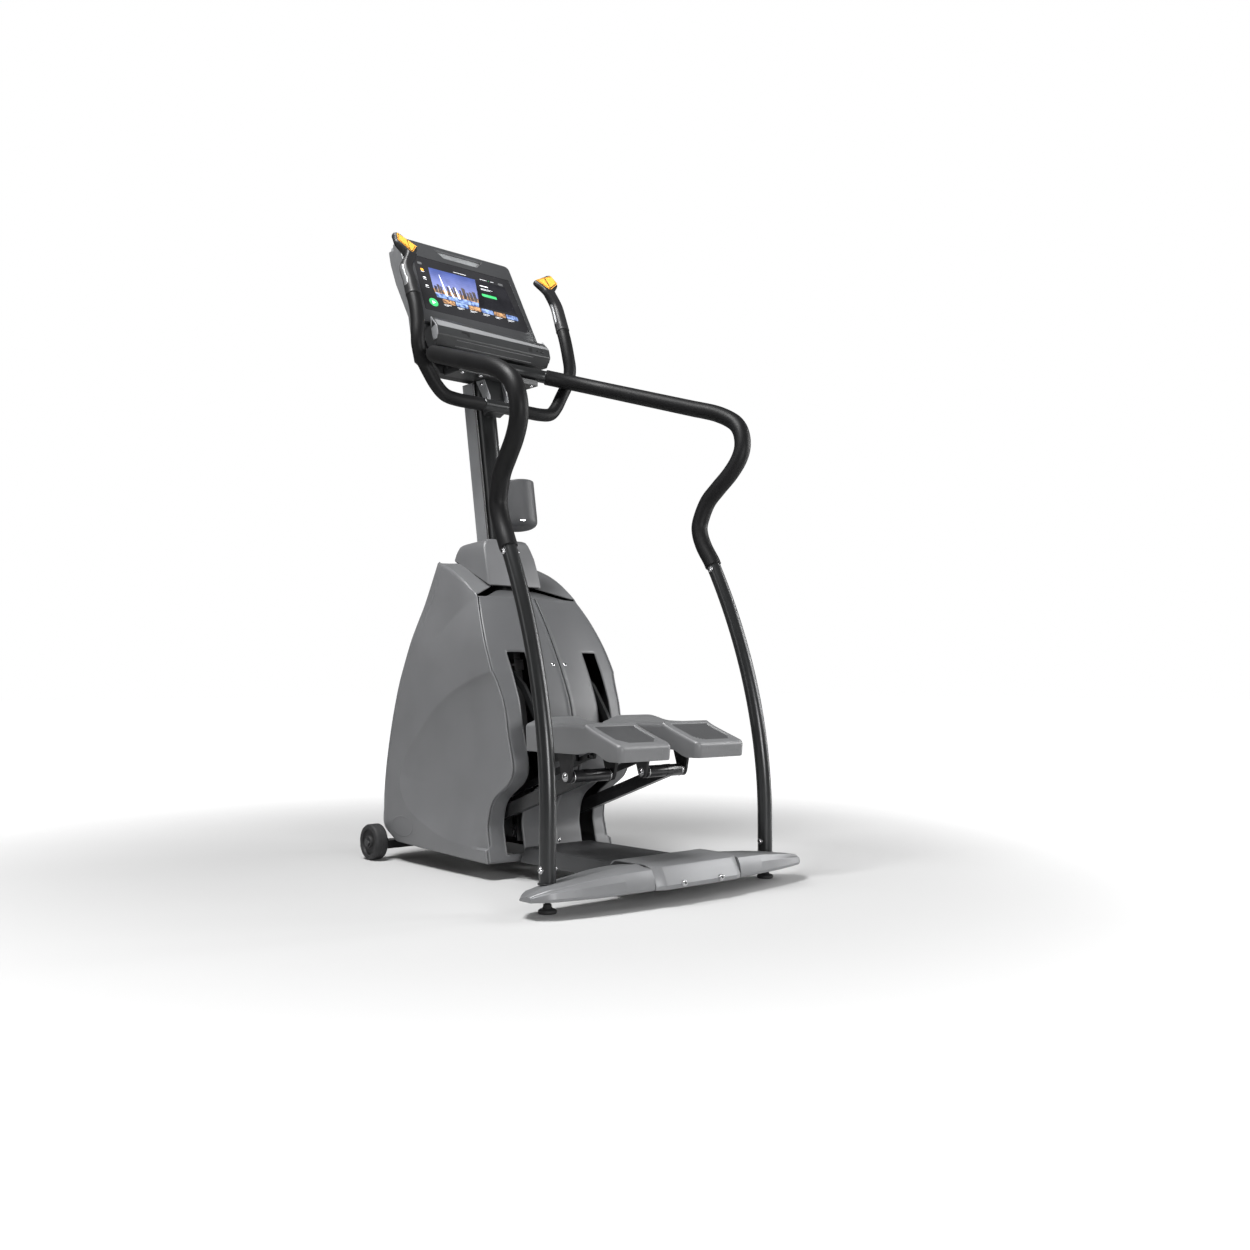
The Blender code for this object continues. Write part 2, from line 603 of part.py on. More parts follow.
def middle_path():
    """Centre line of the bare middle of the handrail, under the console."""
    end = grip_path()[-1]
    nearly = grip_path()[-2]
    ahead = (end - nearly).normalized()
    points = [end + ahead * 0.0006, end + ahead * 0.012]
    points += [at(x, y, rail_z(y)) for x, y in ((0.110, 0.7155), (0.060, 0.7185))]
    return points + mirrored(points[::-1], -1)


def make_handrails():
    """Uprights, foam-covered grips and the bare middle section between them."""
    for side, sign in SIDES:
        pipe(f"upright_{side}", mirrored(upright_path(), sign), UPRIGHT_R, "frame_grey")
        pipe(f"handrail_grip_{side}", mirrored(grip_path(), sign), FOAM_R, "foam_black")
    pipe("handrail_middle", middle_path(), 0.0185, "frame_grey")


def bar_path():
    """Centre line of the right half of the console handlebar, from its foam end up."""
    points = [(0.0600, 0.687, 1.3010), (0.1000, 0.687, 1.3010), (0.1450, 0.687, 1.3010),
              (0.1850, 0.6890, 1.3080), (0.2120, 0.6940, 1.3330), (0.2350, 0.6990, 1.3690),
              (0.2560, 0.7010, 1.4050), (0.2670, 0.7005, 1.4350), (0.2695, 0.7000, 1.4640),
              (0.2670, 0.7050, 1.5000), (0.2655, 0.7160, 1.5450), (0.2660, 0.7310, 1.5850)]
    return smooth_path([at(*p) for p in points], 2)


def make_handlebar():
    """Console handlebar: bare middle, foam arms, sensor heads and their keys."""
    pipe("handlebar_middle", [at(-0.0594, 0.687, 1.301), at(0.0594, 0.687, 1.301)], 0.0175,
         "frame_grey")
    for side, sign in SIDES:
        path = mirrored(bar_path(), sign)
        pipe(f"handlebar_grip_{side}", path, GRIP_TUBE_R, "foam_black")
        make_head(side, sign, path[-1], path[-1] - path[-2])


def make_head(side, sign, foot, along):
    """Head of one handlebar arm: neck, keypad block and two keys."""
    foot = foot + along.normalized() * 0.0006
    facing = Vector((sign * -0.18, -0.80, 0.57)).normalized()
    centre = at(sign * 0.2490, 0.7880, 1.7440)
    across = Vector((1, 0, 0)) - facing * facing.x
    across = across.normalized() * sign
    up = facing.cross(across) * sign
    if up.z < 0:
        up = -up
    rings = []
    middle = at(sign * 0.2680, 0.7660, 1.6700)
    low_axis = along.normalized()
    low_across = (across - low_axis * across.dot(low_axis)).normalized()
    low_facing = low_axis.cross(low_across) * -sign
    rings.append(head_ring(foot, low_across, low_facing, 0.0195, 0.0195))
    rings.append(head_ring(foot + low_axis * 0.045, low_across, low_facing, 0.0190, 0.0185))
    rings.append(head_ring(middle, low_across, low_facing, 0.0185, 0.0170))
    rings.append(head_ring(centre - up * 0.030 - facing * 0.008, across, facing, 0.0200, 0.0150))
    rings.append(head_ring(centre + up * 0.004 - facing * 0.010, across, facing, 0.0330, 0.0135))
    rings.append(head_ring(centre + up * 0.026 - facing * 0.011, across, facing, 0.0340, 0.0125))
    rings.append(head_ring(centre + up * 0.036 - facing * 0.013, across, facing, 0.0260, 0.0085))
    head = add_object(f"grip_head_{side}", loft(rings), "plastic_black", smooth=40)
    deck = centre + facing * 0.0010
    for index, name in ((-1, "inner"), (1, "outer")):
        key_centre = deck + across * (0.0145 * index) + up * 0.010
        boolean(head, key_block(key_centre - facing * 0.004, across, up, facing,
                                0.0117, 0.0147, 0.006))
        key = key_block(key_centre - facing * 0.0025, across, up, facing, 0.0110, 0.0140, 0.0035)
        add_object(f"key_{name}_{side}", key, "key_orange", origin=key_centre)


def head_ring(centre, across, facing, width, depth):
    """Twelve-sided section of a handlebar head."""
    ring = []
    for i in range(12):
        turn = 2 * math.pi * i / 12
        ring.append(centre + across * (width * math.cos(turn)) + facing * (depth * math.sin(turn)))
    return ring


def key_block(centre, across, up, facing, half_width, half_height, thickness):
    """Small block lying on a sloping face; centre is the middle of its underside."""
    corners = [(-1, -1), (1, -1), (1, 1), (-1, 1)]
    outline = [centre + across * (half_width * a) + up * (half_height * b) for a, b in corners]
    return prism(outline, facing * thickness)


# ---- stepping mechanism -------------------------------------------------------------
BELT_RADIUS = 0.030            # pitch radius of the belt on its pulleys


def clamp_travel():
    """Side-view displacement of a pedal, and so of its bracket, over the full step."""
    end = turned(PEDAL_PIVOT, ARM_ROOT, STEP_ANGLE)
    return (end[0] - PEDAL_PIVOT[0], end[1] - PEDAL_PIVOT[1])


def belt_line(distance):
    """Point on the belt's rear run, this far up from the clamp's rest place."""
    travel = clamp_travel()
    length = math.hypot(*travel)
    return (CLAMP_AT[0] - travel[0] / length * distance, CLAMP_AT[1] - travel[1] / length * distance)


def beside_belt(point):
    """Pulley centre whose rim touches the belt's rear run at this point."""
    travel = clamp_travel()
    length = math.hypot(*travel)
    return (point[0] - travel[1] / length * BELT_RADIUS, point[1] + travel[0] / length * BELT_RADIUS)


def belt_pulley():
    """Centre of the drive pulleys and of the drive shaft."""
    return beside_belt(belt_line(0.085))


def belt_drum():
    """Centre of the fixed drums at the belt's lower end."""
    return beside_belt(belt_line(-0.215))


def make_pedals():
    """Pedal shells with their lugs, treads and drive brackets."""
    inner, outer = PEDAL_X
    top = [(-0.071, 0.352), (-0.060, 0.371), (-0.047, 0.377), (0.046, 0.409), (0.252, 0.409),
           (0.262, 0.411), (0.283, 0.411), (0.290, 0.404), (0.290, 0.339)]
    under = [(0.090, 0.339), (0.030, 0.348), (-0.030, 0.327), (-0.064, 0.327)]
    pivot_y, pivot_z = PEDAL_PIVOT
    link_y, link_z = pivot_y + ROD_OFFSET[0], pivot_z + ROD_OFFSET[1]
    for side, sign in SIDES:
        origin = at(0, pivot_y, pivot_z)
        shell = add_object(f"pedal_{side}", side_plate(top + under, sign * inner, sign * outer),
                           "shroud_grey", origin=origin)
        lug = [(0.102, 0.352), (0.120, pivot_z - 0.010), (0.130, pivot_z - 0.017),
               (0.144, pivot_z - 0.017), (0.154, pivot_z - 0.010), (0.172, 0.345)]
        boolean(shell, side_plate(lug, sign * 0.048, sign * 0.058), "UNION")
        boolean(shell, side_plate(lug, sign * 0.190, sign * 0.200), "UNION")
        boolean(shell, rod(at(sign * 0.052, pivot_y, pivot_z), at(sign * 0.204, pivot_y, pivot_z), 0.008),
                "UNION")
        ear = [(link_y - 0.008, 0.345), (link_y - 0.008, link_z - 0.006), (link_y + 0.008, link_z - 0.006),
               (link_y + 0.008, 0.345)]
        boolean(shell, side_plate(ear, sign * 0.090, sign * 0.1005), "UNION")
        boolean(shell, rod(at(sign * 0.096, link_y, link_z), at(sign * 0.1115, link_y, link_z), 0.004),
                "UNION")
        hump = [(0.176, 0.400), (0.178, 0.409), (0.222, 0.4205), (0.250, 0.4245), (0.272, 0.4230),
                (0.284, 0.4160), (0.288, 0.400)]
        boolean(shell, side_plate(hump, sign * (inner + 0.018), sign * (outer - 0.018)), "UNION")
        boolean(shell, tread_block(sign, 0.0, 0.004))
        add_object(f"pedal_tread_{side}", tread_block(sign, -GAP, 0.0028), "rubber", origin=origin)
        bracket = add_object(f"pedal_bracket_{side}", bracket_plate(sign), "frame_grey",
                             origin=origin)
        boolean(bracket, side_plate(eye_outline(EYE_R), sign * 0.105, sign * 0.130))


def tread_block(sign, grow, depth):
    """Slab let into the sloping rear of a pedal."""
    inner, outer = PEDAL_X[0] + 0.022 - grow, PEDAL_X[1] - 0.022 + grow
    slope = (0.409 - 0.377) / (0.046 + 0.047)
    rear, front = -0.030 - grow, 0.040 + grow
    points = []
    floor = -0.004 - grow
    for y, lift in ((rear, floor), (front, floor), (front, depth - 0.004), (rear, depth - 0.004)):
        points.append((y, 0.377 + slope * (y + 0.047) + lift))
    if grow == 0.0:
        points[2] = (points[2][0], points[2][1] + 0.01)
        points[3] = (points[3][0], points[3][1] + 0.01)
    return side_plate(points, sign * inner, sign * outer)


def bracket_plate(sign):
    """Flat link under a pedal that runs up through the slot to the belt clamp."""
    half = 0.009
    line = [(0.300, 0.322), (0.355, 0.419), (0.413, 0.497), CLAMP_AT]
    lower = [(0.190, 0.3300 - 2 * half + 0.003), (0.296, 0.3090)]
    upper = []
    under = []
    for (ay, az), (by, bz) in zip(line, line[1:]):
        length = math.hypot(by - ay, bz - az)
        ny, nz = -(bz - az) / length * half, (by - ay) / length * half
        upper += [(ay + ny, az + nz), (by + ny, bz + nz)]
        under += [(ay - ny, az - nz), (by - ny, bz - nz)]
    upper = tidy_corners(upper)
    under = tidy_corners(under)
    front = [(0.190, 0.3385), (0.2955, 0.3385)] + upper[1:-1]
    back = under[1:-1][::-1] + lower[::-1]
    points = front + eye_outline(0.0125, 190, -80) + back
    return side_plate(points, sign * BRACKET_X[0], sign * BRACKET_X[1])


def tidy_corners(points):
    """Replaces each pair of offset points at a bend by their middle."""
    middles = [((ay + by) / 2, (az + bz) / 2)
               for (ay, az), (by, bz) in zip(points[1::2], points[2::2])]
    return [points[0], *middles, points[-1]]


def eye_outline(radius, rear_from=270, front_to=-90):
    """Obround around the clamp's pin, long enough forward for the pin's drift in a step."""
    y, z = CLAMP_AT
    return (arc((y, z), radius, rear_from, 90, 4)
            + arc((y + PIN_DRIFT, z), radius, 90, front_to, 6))


def make_arms():
    """Pedal arms with their cross tubes, and the levelling rods beside them."""
    root_y, root_z = ARM_ROOT
    pivot_y, pivot_z = PEDAL_PIVOT
    for side, sign in SIDES:
        origin = at(0, root_y, root_z)
        outline = bar_outline(PEDAL_PIVOT, ARM_ROOT, 0.0165)
        arm = add_object(f"pedal_arm_{side}", side_plate(outline, sign * ARM_X[0], sign * ARM_X[1]),
                         "plastic_black", origin=origin)
        tube = (at(sign * 0.0600, pivot_y, pivot_z), at(sign * 0.1880, pivot_y, pivot_z))
        boolean(arm, rod(*tube, 0.0155, 18), "UNION")
        bore = (at(sign * 0.0500, pivot_y, pivot_z), at(sign * 0.2000, pivot_y, pivot_z))
        boolean(arm, rod(*bore, 0.0090, 14))
        boolean(arm, rod(at(sign * 0.1, root_y, root_z), at(sign * 0.2, root_y, root_z), 0.0107, 14))
        start = (pivot_y + ROD_OFFSET[0], pivot_z + ROD_OFFSET[1])
        end = (root_y + ROD_OFFSET[0], root_z + ROD_OFFSET[1])
        link = add_object(f"leveling_rod_{side}",
                          side_plate(bar_outline(start, end, 0.0085), sign * ROD_X[0], sign * ROD_X[1]),
                          "frame_grey", origin=at(0, *end))
        boolean(link, rod(at(sign * 0.09, *start), at(sign * 0.12, *start), 0.0050, 16))
        boolean(link, rod(at(sign * 0.09, *end), at(sign * 0.12, *end), 0.0068, 16))


def belt_outline(radius):
    """Side-view loop of a belt at this radius around its pulley and drum."""
    top, low = belt_pulley(), belt_drum()
    angle = math.degrees(math.atan2(top[1] - low[1], top[0] - low[0]))
    return arc(top, radius, angle - 90, angle + 90, 10) + arc(low, radius, angle + 90, angle + 270, 10)


def ring_plate(outer, inner, x_from, x_to):
    """Closed band with matching outer and inner outlines."""
    rings = []
    for outline, x in ((outer, x_from), (outer, x_to), (inner, x_to), (inner, x_from)):
        rings.append([at(x, y, z) for y, z in outline])
    return loft(rings, closed=True)


def make_drive():
    """Belts, clamps, drive pulleys, drive shaft, alternator and return springs."""
    top_y, top_z = belt_pulley()
    for side, sign in SIDES:
        belt = ring_plate(belt_outline(BELT_RADIUS + 0.0012), belt_outline(BELT_RADIUS - 0.0012),
                          sign * BELT_X[0], sign * BELT_X[1])
        add_object(f"drive_belt_{side}", belt, "rubber")
        rim = BELT_RADIUS - 0.0025
        profile = [(0.0094, 0), (0.034, 0), (0.034, 0.0018), (rim, 0.0018), (rim, 0.0262),
                   (0.034, 0.0262), (0.034, 0.028), (0.0094, 0.028)]
        centre = at(sign * (BELT_X[0] - 0.0025), top_y, top_z)
        add_object(f"drive_pulley_{side}", lathe(profile, centre, (sign, 0, 0), 16), "frame_grey",
                   origin=centre)
        make_clamp(side, sign)
        make_spring(side, sign)
    shaft = [(0, 0), (0.0090, 0), (0.0090, 0.040), (0.040, 0.040), (0.040, 0.043), (0.033, 0.049),
             (0.040, 0.055), (0.040, 0.058), (0.0090, 0.058), (0.0090, 0.200), (0, 0.200)]
    add_object("drive_shaft", lathe(shaft, at(-0.100, top_y, top_z), (1, 0, 0), 16), "steel",
               origin=at(0, top_y, top_z))
    body = [(0, 0), (0.034, 0), (0.052, 0.008), (0.0555, 0.018), (0.0555, 0.052), (0.052, 0.062),
            (0.034, 0.070), (0, 0.070)]
    alternator = add_object("alternator", lathe(body, at(-0.032, *ALTERNATOR), (1, 0, 0), 16),
                            "steel")
    boolean(alternator, rod(at(-0.04, *ALTERNATOR), at(-0.020, *ALTERNATOR), 0.0066, 16))
    pulley = [(0, 0), (0.013, 0), (0.013, 0.0025), (0.0095, 0.0075), (0.013, 0.0125), (0.013, 0.015),
              (0.006, 0.015), (0.006, 0.0355), (0, 0.0355)]
    centre = at(-0.0595, *ALTERNATOR)
    add_object("alternator_pulley", lathe(pulley, centre, (1, 0, 0), 12), "steel", origin=centre)
    make_alternator_belt()


ALTERNATOR = (0.700, 0.4482)


def make_alternator_belt():
    """Belt from the drive shaft's large pulley to the alternator's small one."""
    top, low = belt_pulley(), ALTERNATOR
    distance = math.hypot(top[0] - low[0], top[1] - low[1])
    angle = math.degrees(math.atan2(top[1] - low[1], top[0] - low[0]))
    large, small = 0.0405, 0.0135
    lean = math.degrees(math.asin((large - small) / distance))

    def loop(extra):
        return (arc(top, large + extra, angle - 90 - lean, angle + 90 + lean, 12)
                + arc(low, small + extra, angle + 90 + lean, angle + 270 - lean, 8))

    belt = ring_plate(loop(0.0025), loop(0.0), -0.0555, -0.0465)
    add_object("alternator_belt", belt, "rubber")


def make_clamp(side, sign):
    """Clamp on the belt's rear run, with the pin that the pedal's bracket pulls on."""
    travel = clamp_travel()
    length = math.hypot(*travel)
    down = (travel[0] / length, travel[1] / length)
    ahead = (-down[1], down[0])

    def local(along, across):
        return (CLAMP_AT[0] + down[0] * along + ahead[0] * across,
                CLAMP_AT[1] + down[1] * along + ahead[1] * across)

    half = 0.014
    gap = 0.0012 + GAP
    x_in, x_mid, x_out = BELT_X[0] - 0.004, BELT_X[1] + GAP, BELT_X[1] + 0.0045
    jaws = [(x_in, gap), (x_mid, gap), (x_mid, -gap), (x_in, -gap), (x_in, -0.007),
            (x_out, -0.007), (x_out, 0.008), (x_in, 0.008)]
    outline = [at(sign * x, *local(-half, across)) for x, across in jaws]
    shift = (0, down[0] * 2 * half, down[1] * 2 * half)
    clamp = add_object(f"belt_clamp_{side}", prism(outline, shift), "steel",
                       origin=at(0, *CLAMP_AT))
    pin = rod(at(sign * (x_out - 0.002), *CLAMP_AT), at(sign * 0.1245, *CLAMP_AT), 0.004)
    boolean(clamp, pin, "UNION")


def make_spring(side, sign):
    """Torsion spring around the arms' shaft, with a leg along the arm and one on the frame."""
    root_y, root_z = ARM_ROOT
    mean, turns, steps = 0.0150, 4, 10
    path = [at(sign * 0.048, root_y - 0.050, root_z + mean)]
    for i in range(turns * steps + 1):
        turn = math.radians(90 - 360 * i / steps)
        x = 0.048 + 0.046 * i / (turns * steps)
        path.append(at(sign * x, root_y + mean * math.cos(turn), root_z + mean * math.sin(turn)))
    path.append(at(sign * 0.094, root_y + 0.050, root_z + mean))
    pipe(f"return_spring_{side}", path, 0.0021, "steel", resolution=1)


# ---- assembly -----------------------------------------------------------------------
def clear_scene():
    """Removes whatever the file opened with."""
    for old in list(bpy.data.objects):
        bpy.data.objects.remove(old, do_unlink=True)


def main():
    clear_scene()
    make_stabilizers()
    make_feet()
    make_main_frame()
    make_front_axle()
    make_base_cover()
    make_shrouds()
    make_rear_covers()
    make_neck_cover()
    make_mast()
    make_cup_holder()
    make_console()
    make_console_bracket()
    make_handrails()
    make_handlebar()
    make_pedals()
    make_arms()
    make_drive()


main()
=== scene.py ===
"""Looks of the stair climber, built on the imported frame. Metres, +Z up, +Y the way the user faces.

Lengths along the machine are written from the rear levelling feet, as in the CAD, and at() turns
them into world coordinates.
"""
import json
import math

import bmesh
import bpy
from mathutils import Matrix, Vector


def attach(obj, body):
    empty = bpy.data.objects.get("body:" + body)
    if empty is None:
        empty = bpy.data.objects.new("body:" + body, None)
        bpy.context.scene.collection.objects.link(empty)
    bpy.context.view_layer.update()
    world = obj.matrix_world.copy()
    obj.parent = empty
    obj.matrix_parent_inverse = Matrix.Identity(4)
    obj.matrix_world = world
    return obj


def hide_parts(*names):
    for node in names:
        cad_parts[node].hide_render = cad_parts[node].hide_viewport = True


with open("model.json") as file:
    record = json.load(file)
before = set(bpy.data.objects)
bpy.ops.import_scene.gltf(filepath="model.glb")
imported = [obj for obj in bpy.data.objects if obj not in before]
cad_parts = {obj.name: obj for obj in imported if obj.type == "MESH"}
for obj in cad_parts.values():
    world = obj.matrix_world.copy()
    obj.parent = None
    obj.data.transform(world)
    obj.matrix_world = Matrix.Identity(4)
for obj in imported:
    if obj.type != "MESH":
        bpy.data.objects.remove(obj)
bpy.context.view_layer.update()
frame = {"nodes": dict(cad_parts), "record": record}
record = frame["record"]

REAR_FOOT_Y = -0.4435
FOOT_X = 0.36
SIDES = (("left", -1), ("right", 1))
MAST_SLOPE = 0.1732
MAST_FOOT = (0.5481, 0.075)
CONSOLE_TILT = math.radians(27.2)
BEVEL_ANGLE = math.radians(28)
FACE_LOW = (0.7605, 1.516)


# ---- materials ----------------------------------------------------------------------
def node(tree, kind, **settings):
    """Adds a node and sets its properties and input values."""
    made = tree.nodes.new(kind)
    for key, value in settings.items():
        if key in made.inputs:
            made.inputs[key].default_value = value
        else:
            setattr(made, key, value)
    return made


def noise(tree, scale, detail=3.0, stretch=(1, 1, 1)):
    """Noise in the object's own coordinates, stretched where asked."""
    coords = node(tree, "ShaderNodeTexCoord")
    mapping = node(tree, "ShaderNodeMapping")
    mapping.inputs["Scale"].default_value = stretch
    texture = node(tree, "ShaderNodeTexNoise", Scale=scale, Detail=detail)
    tree.links.new(coords.outputs["Object"], mapping.inputs["Vector"])
    tree.links.new(mapping.outputs["Vector"], texture.inputs["Vector"])
    return texture.outputs["Fac"]


def ramp(tree, factor, low, high, start=0.3, end=0.7):
    """Colour ramp between two colours over part of a factor's range."""
    made = node(tree, "ShaderNodeValToRGB")
    made.color_ramp.elements[0].position = start
    made.color_ramp.elements[1].position = end
    made.color_ramp.elements[0].color = (*low, 1)
    made.color_ramp.elements[1].color = (*high, 1)
    tree.links.new(factor, made.inputs["Fac"])
    return made.outputs["Color"]


def spread(tree, factor, low, high):
    """Maps a 0 to 1 factor to a range of numbers."""
    made = node(tree, "ShaderNodeMapRange")
    made.inputs["To Min"].default_value = low
    made.inputs["To Max"].default_value = high
    tree.links.new(factor, made.inputs["Value"])
    return made.outputs["Result"]


def surface(name, colour, vary=0.06, rough=(0.4, 0.5), grain=(900, 0.06), blotch=9.0, metallic=0.0,
        stretch=(1, 1, 1), coat=0.0, sheen=0.0, emit=0.0, specular=0.5):
    """Principled material whose colour, roughness and grain vary over the surface."""
    made = bpy.data.materials.new(name)
    made.use_nodes = True
    tree = made.node_tree
    shader = tree.nodes["Principled BSDF"]
    shader.inputs["Metallic"].default_value = metallic
    shader.inputs["Coat Weight"].default_value = coat
    shader.inputs["Coat Roughness"].default_value = 0.25
    shader.inputs["Sheen Weight"].default_value = sheen
    shader.inputs["Specular IOR Level"].default_value = specular
    wide = noise(tree, blotch, 4.0, stretch)
    low = tuple(c * (1 - vary) for c in colour)
    high = tuple(min(c * (1 + vary), 1) for c in colour)
    tone = ramp(tree, wide, low, high)
    tree.links.new(tone, shader.inputs["Base Color"])
    tree.links.new(spread(tree, noise(tree, blotch * 4, 3.0, stretch), *rough), shader.inputs["Roughness"])
    if emit:
        tree.links.new(tone, shader.inputs["Emission Color"])
        shader.inputs["Emission Strength"].default_value = emit
    scale, depth = grain
    bump = node(tree, "ShaderNodeBump", Strength=depth, Distance=0.0006)
    tree.links.new(noise(tree, scale, 2.0, stretch), bump.inputs["Height"])
    tree.links.new(bump.outputs["Normal"], shader.inputs["Normal"])
    return made


SHROUD = surface("moulded_shroud", (0.15, 0.152, 0.157), 0.05, (0.34, 0.44), (1400, 0.1))
# Darker copy of the shroud's grey for the rear covers: painted shade, the covers are the same plastic as
# the shroud.
SHADED_REAR_GREY = surface("moulded_rear_painted_shade", (0.1, 0.102, 0.106), 0.05, (0.34, 0.44), (1400, 0.1))
COVER = surface("moulded_cover", (0.06, 0.061, 0.064), 0.06, (0.42, 0.52), (1400, 0.12))
# Black moulded plastic for the black parts, also laid on as painted shade inside the shells, at each end
# of the stabilizer cap and in the console's vent slits.
BLACK_AND_SHADE = surface("moulded_black_and_painted_shade", (0.014, 0.014, 0.015), 0.1, (0.38, 0.52), (1300, 0.12), specular=0.35)
PALE = surface("satin_pale", (0.26, 0.265, 0.275), 0.04, (0.34, 0.42), (1200, 0.06), metallic=0.2)
COAT = surface("powder_coat", (0.026, 0.027, 0.028), 0.08, (0.26, 0.34), (1400, 0.03), metallic=0.55,
    coat=0.25)
CAST = surface("cast_shell", (0.2, 0.203, 0.209), 0.06, (0.4, 0.48), (1500, 0.06), metallic=0.25)
FOAM = surface("closed_cell_foam", (0.0055, 0.0055, 0.006), 0.2, (0.42, 0.54), (650, 0.18), specular=0.2)
RUBBER = surface("rubber", (0.02, 0.02, 0.021), 0.15, (0.6, 0.75), (700, 0.25))
STEEL = surface("bright_steel", (0.62, 0.62, 0.63), 0.05, (0.14, 0.24), (800, 0.04), metallic=1.0)
SPRING = surface("spring_steel", (0.3, 0.3, 0.31), 0.08, (0.28, 0.4), (800, 0.05), metallic=1.0)
ORANGE = surface("soft_orange", (0.86, 0.4, 0.05), 0.04, (0.45, 0.55), (1500, 0.04))
GLASS = surface("screen_glass_dark", (0.022, 0.022, 0.024), 0.1, (0.12, 0.18), (60, 0.004), specular=0.3)

LOOKS = {"shroud_grey": SHROUD, "cover_grey": COVER, "pale_grey": PALE, "frame_grey": COAT,
    "stabilizer_grey": CAST, "foam_black": FOAM, "plastic_black": BLACK_AND_SHADE, "steel": SPRING, "rubber": RUBBER,
    "key_orange": ORANGE, "glass_black": GLASS,}
for part in record["subparts"]:
    for held in frame["nodes"][part["node"]].material_slots:
        held.material = LOOKS[part["material_slot"]]


# ---- helpers ------------------------------------------------------------------------
def at(x, forward, z):
    """World point from x, distance forward of the rear feet and height."""
    return Vector((x, REAR_FOOT_Y + forward, z))


def mast_y(z):
    """Distance of the mast's centre line forward of the feet."""
    return MAST_FOOT[0] + MAST_SLOPE * (z - MAST_FOOT[1])


def put(name, bm, look, body="frame", replaces=(), smooth=35, bevel=0.0, segments=3):
    """Makes a piece that rides on a body, with rounded edges where asked."""
    bmesh.ops.recalc_face_normals(bm, faces=bm.faces)
    mesh = bpy.data.meshes.new(name)
    bm.to_mesh(mesh)
    bm.free()
    mesh.materials.append(look)
    mesh.shade_smooth()
    mesh.set_sharp_from_angle(angle=math.radians(smooth))
    made = bpy.data.objects.new(name, mesh)
    bpy.context.scene.collection.objects.link(made)
    if bevel:
        modifier = made.modifiers.new("bevel", "BEVEL")
        modifier.width = bevel
        modifier.segments = segments
        modifier.limit_method = "ANGLE"
        modifier.angle_limit = BEVEL_ANGLE
        modifier.harden_normals = True
    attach(made, body)
    if replaces:
        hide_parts(*replaces)
    return made


def loft(rings, closed=False, caps=True):
    """Skins rings of equal length."""
    bm = bmesh.new()
    made = [[bm.verts.new(p) for p in ring] for ring in rings]
    pairs = list(zip(made, made[1:]))
    if closed:
        pairs.append((made[-1], made[0]))
    for low, high in pairs:
        for i in range(len(low)):
            j = (i + 1) % len(low)
            bm.faces.new((low[i], low[j], high[j], high[i]))
    if caps and not closed:
        bm.faces.new(made[0])
        bm.faces.new(made[-1])
    return bm


def quads(rows):
    """Open surface over a grid of points."""
    bm = bmesh.new()
    grid = [[bm.verts.new(p) for p in row] for row in rows]
    for low, high in zip(grid, grid[1:]):
        for corners in zip(low, low[1:], high[1:], high):
            bm.faces.new(corners)
    return bm


def disc(x, y, radius, steps=32):
    """Round outline."""
    turns = [2 * math.pi * k / steps for k in range(steps)]
    return [(x + radius * math.cos(turn), y + radius * math.sin(turn)) for turn in turns]


def box_outline(left, right, low, high):
    """Rectangular outline."""
    return [(left, low), (right, low), (right, high), (left, high)]


def prism(outline, shift):
    """Solid between an outline of world points and the same outline shifted."""
    shift = Vector(shift)
    return loft([outline, [Vector(p) + shift for p in outline]])


def side_plate(points, x_from, x_to):
    """Solid with an outline in the side view, from x_from to x_to."""
    return prism([at(x_from, y, z) for y, z in points], (x_to - x_from, 0, 0))


def lathe(profile, centre, axis, steps=48):
    """Solid of revolution: profile is (radius, distance along axis) from centre."""
    axis = Vector(axis).normalized()
    across = axis.orthogonal().normalized()
    other = axis.cross(across)
    rings = []
    for i in range(steps):
        turn = 2 * math.pi * i / steps
        out = across * math.cos(turn) + other * math.sin(turn)
        rings.append([Vector(centre) + out * r + axis * h for r, h in profile])
    bm = bmesh.new()
    made = [[bm.verts.new(p) for p in ring] for ring in rings]
    closed = profile[0][0] > 1e-7 and profile[-1][0] > 1e-7
    count = len(profile) if closed else len(profile) - 1
    for i in range(steps):
        ring, after = made[i], made[(i + 1) % steps]
        for j in range(count):
            k = (j + 1) % len(profile)
            bm.faces.new((ring[j], ring[k], after[k], after[j]))
    bmesh.ops.remove_doubles(bm, verts=bm.verts, dist=1e-7)
    return bm


def merge(*parts):
    """One bmesh from several."""
    whole = bmesh.new()
    for part in parts:
        scratch = bpy.data.meshes.new("scratch")
        part.to_mesh(scratch)
        part.free()
        whole.from_mesh(scratch)
        bpy.data.meshes.remove(scratch)
    return whole


def between(a, b, c, d, t):
    """Catmull-Rom point from b to c at t, with a before and d after them."""
    return 0.5 * ((2 * b) + (c - a) * t + (2 * a - 5 * b + 4 * c - d) * t ** 2
        + (3 * b - a - 3 * c + d) * t ** 3)


def with_ends(points):
    """The points with one more at each end, in line with the last two."""
    return [2 * points[0] - points[1], *points, 2 * points[-1] - points[-2]]


def smooth_path(points, steps):
    """Points on a smooth curve through the given points."""
    points = [Vector(p) for p in points]
    ends = with_ends(points)
    path = [between(*four, i / steps) for four in zip(ends, ends[1:], ends[2:], ends[3:])
        for i in range(steps)]
    return path + [points[-1]]


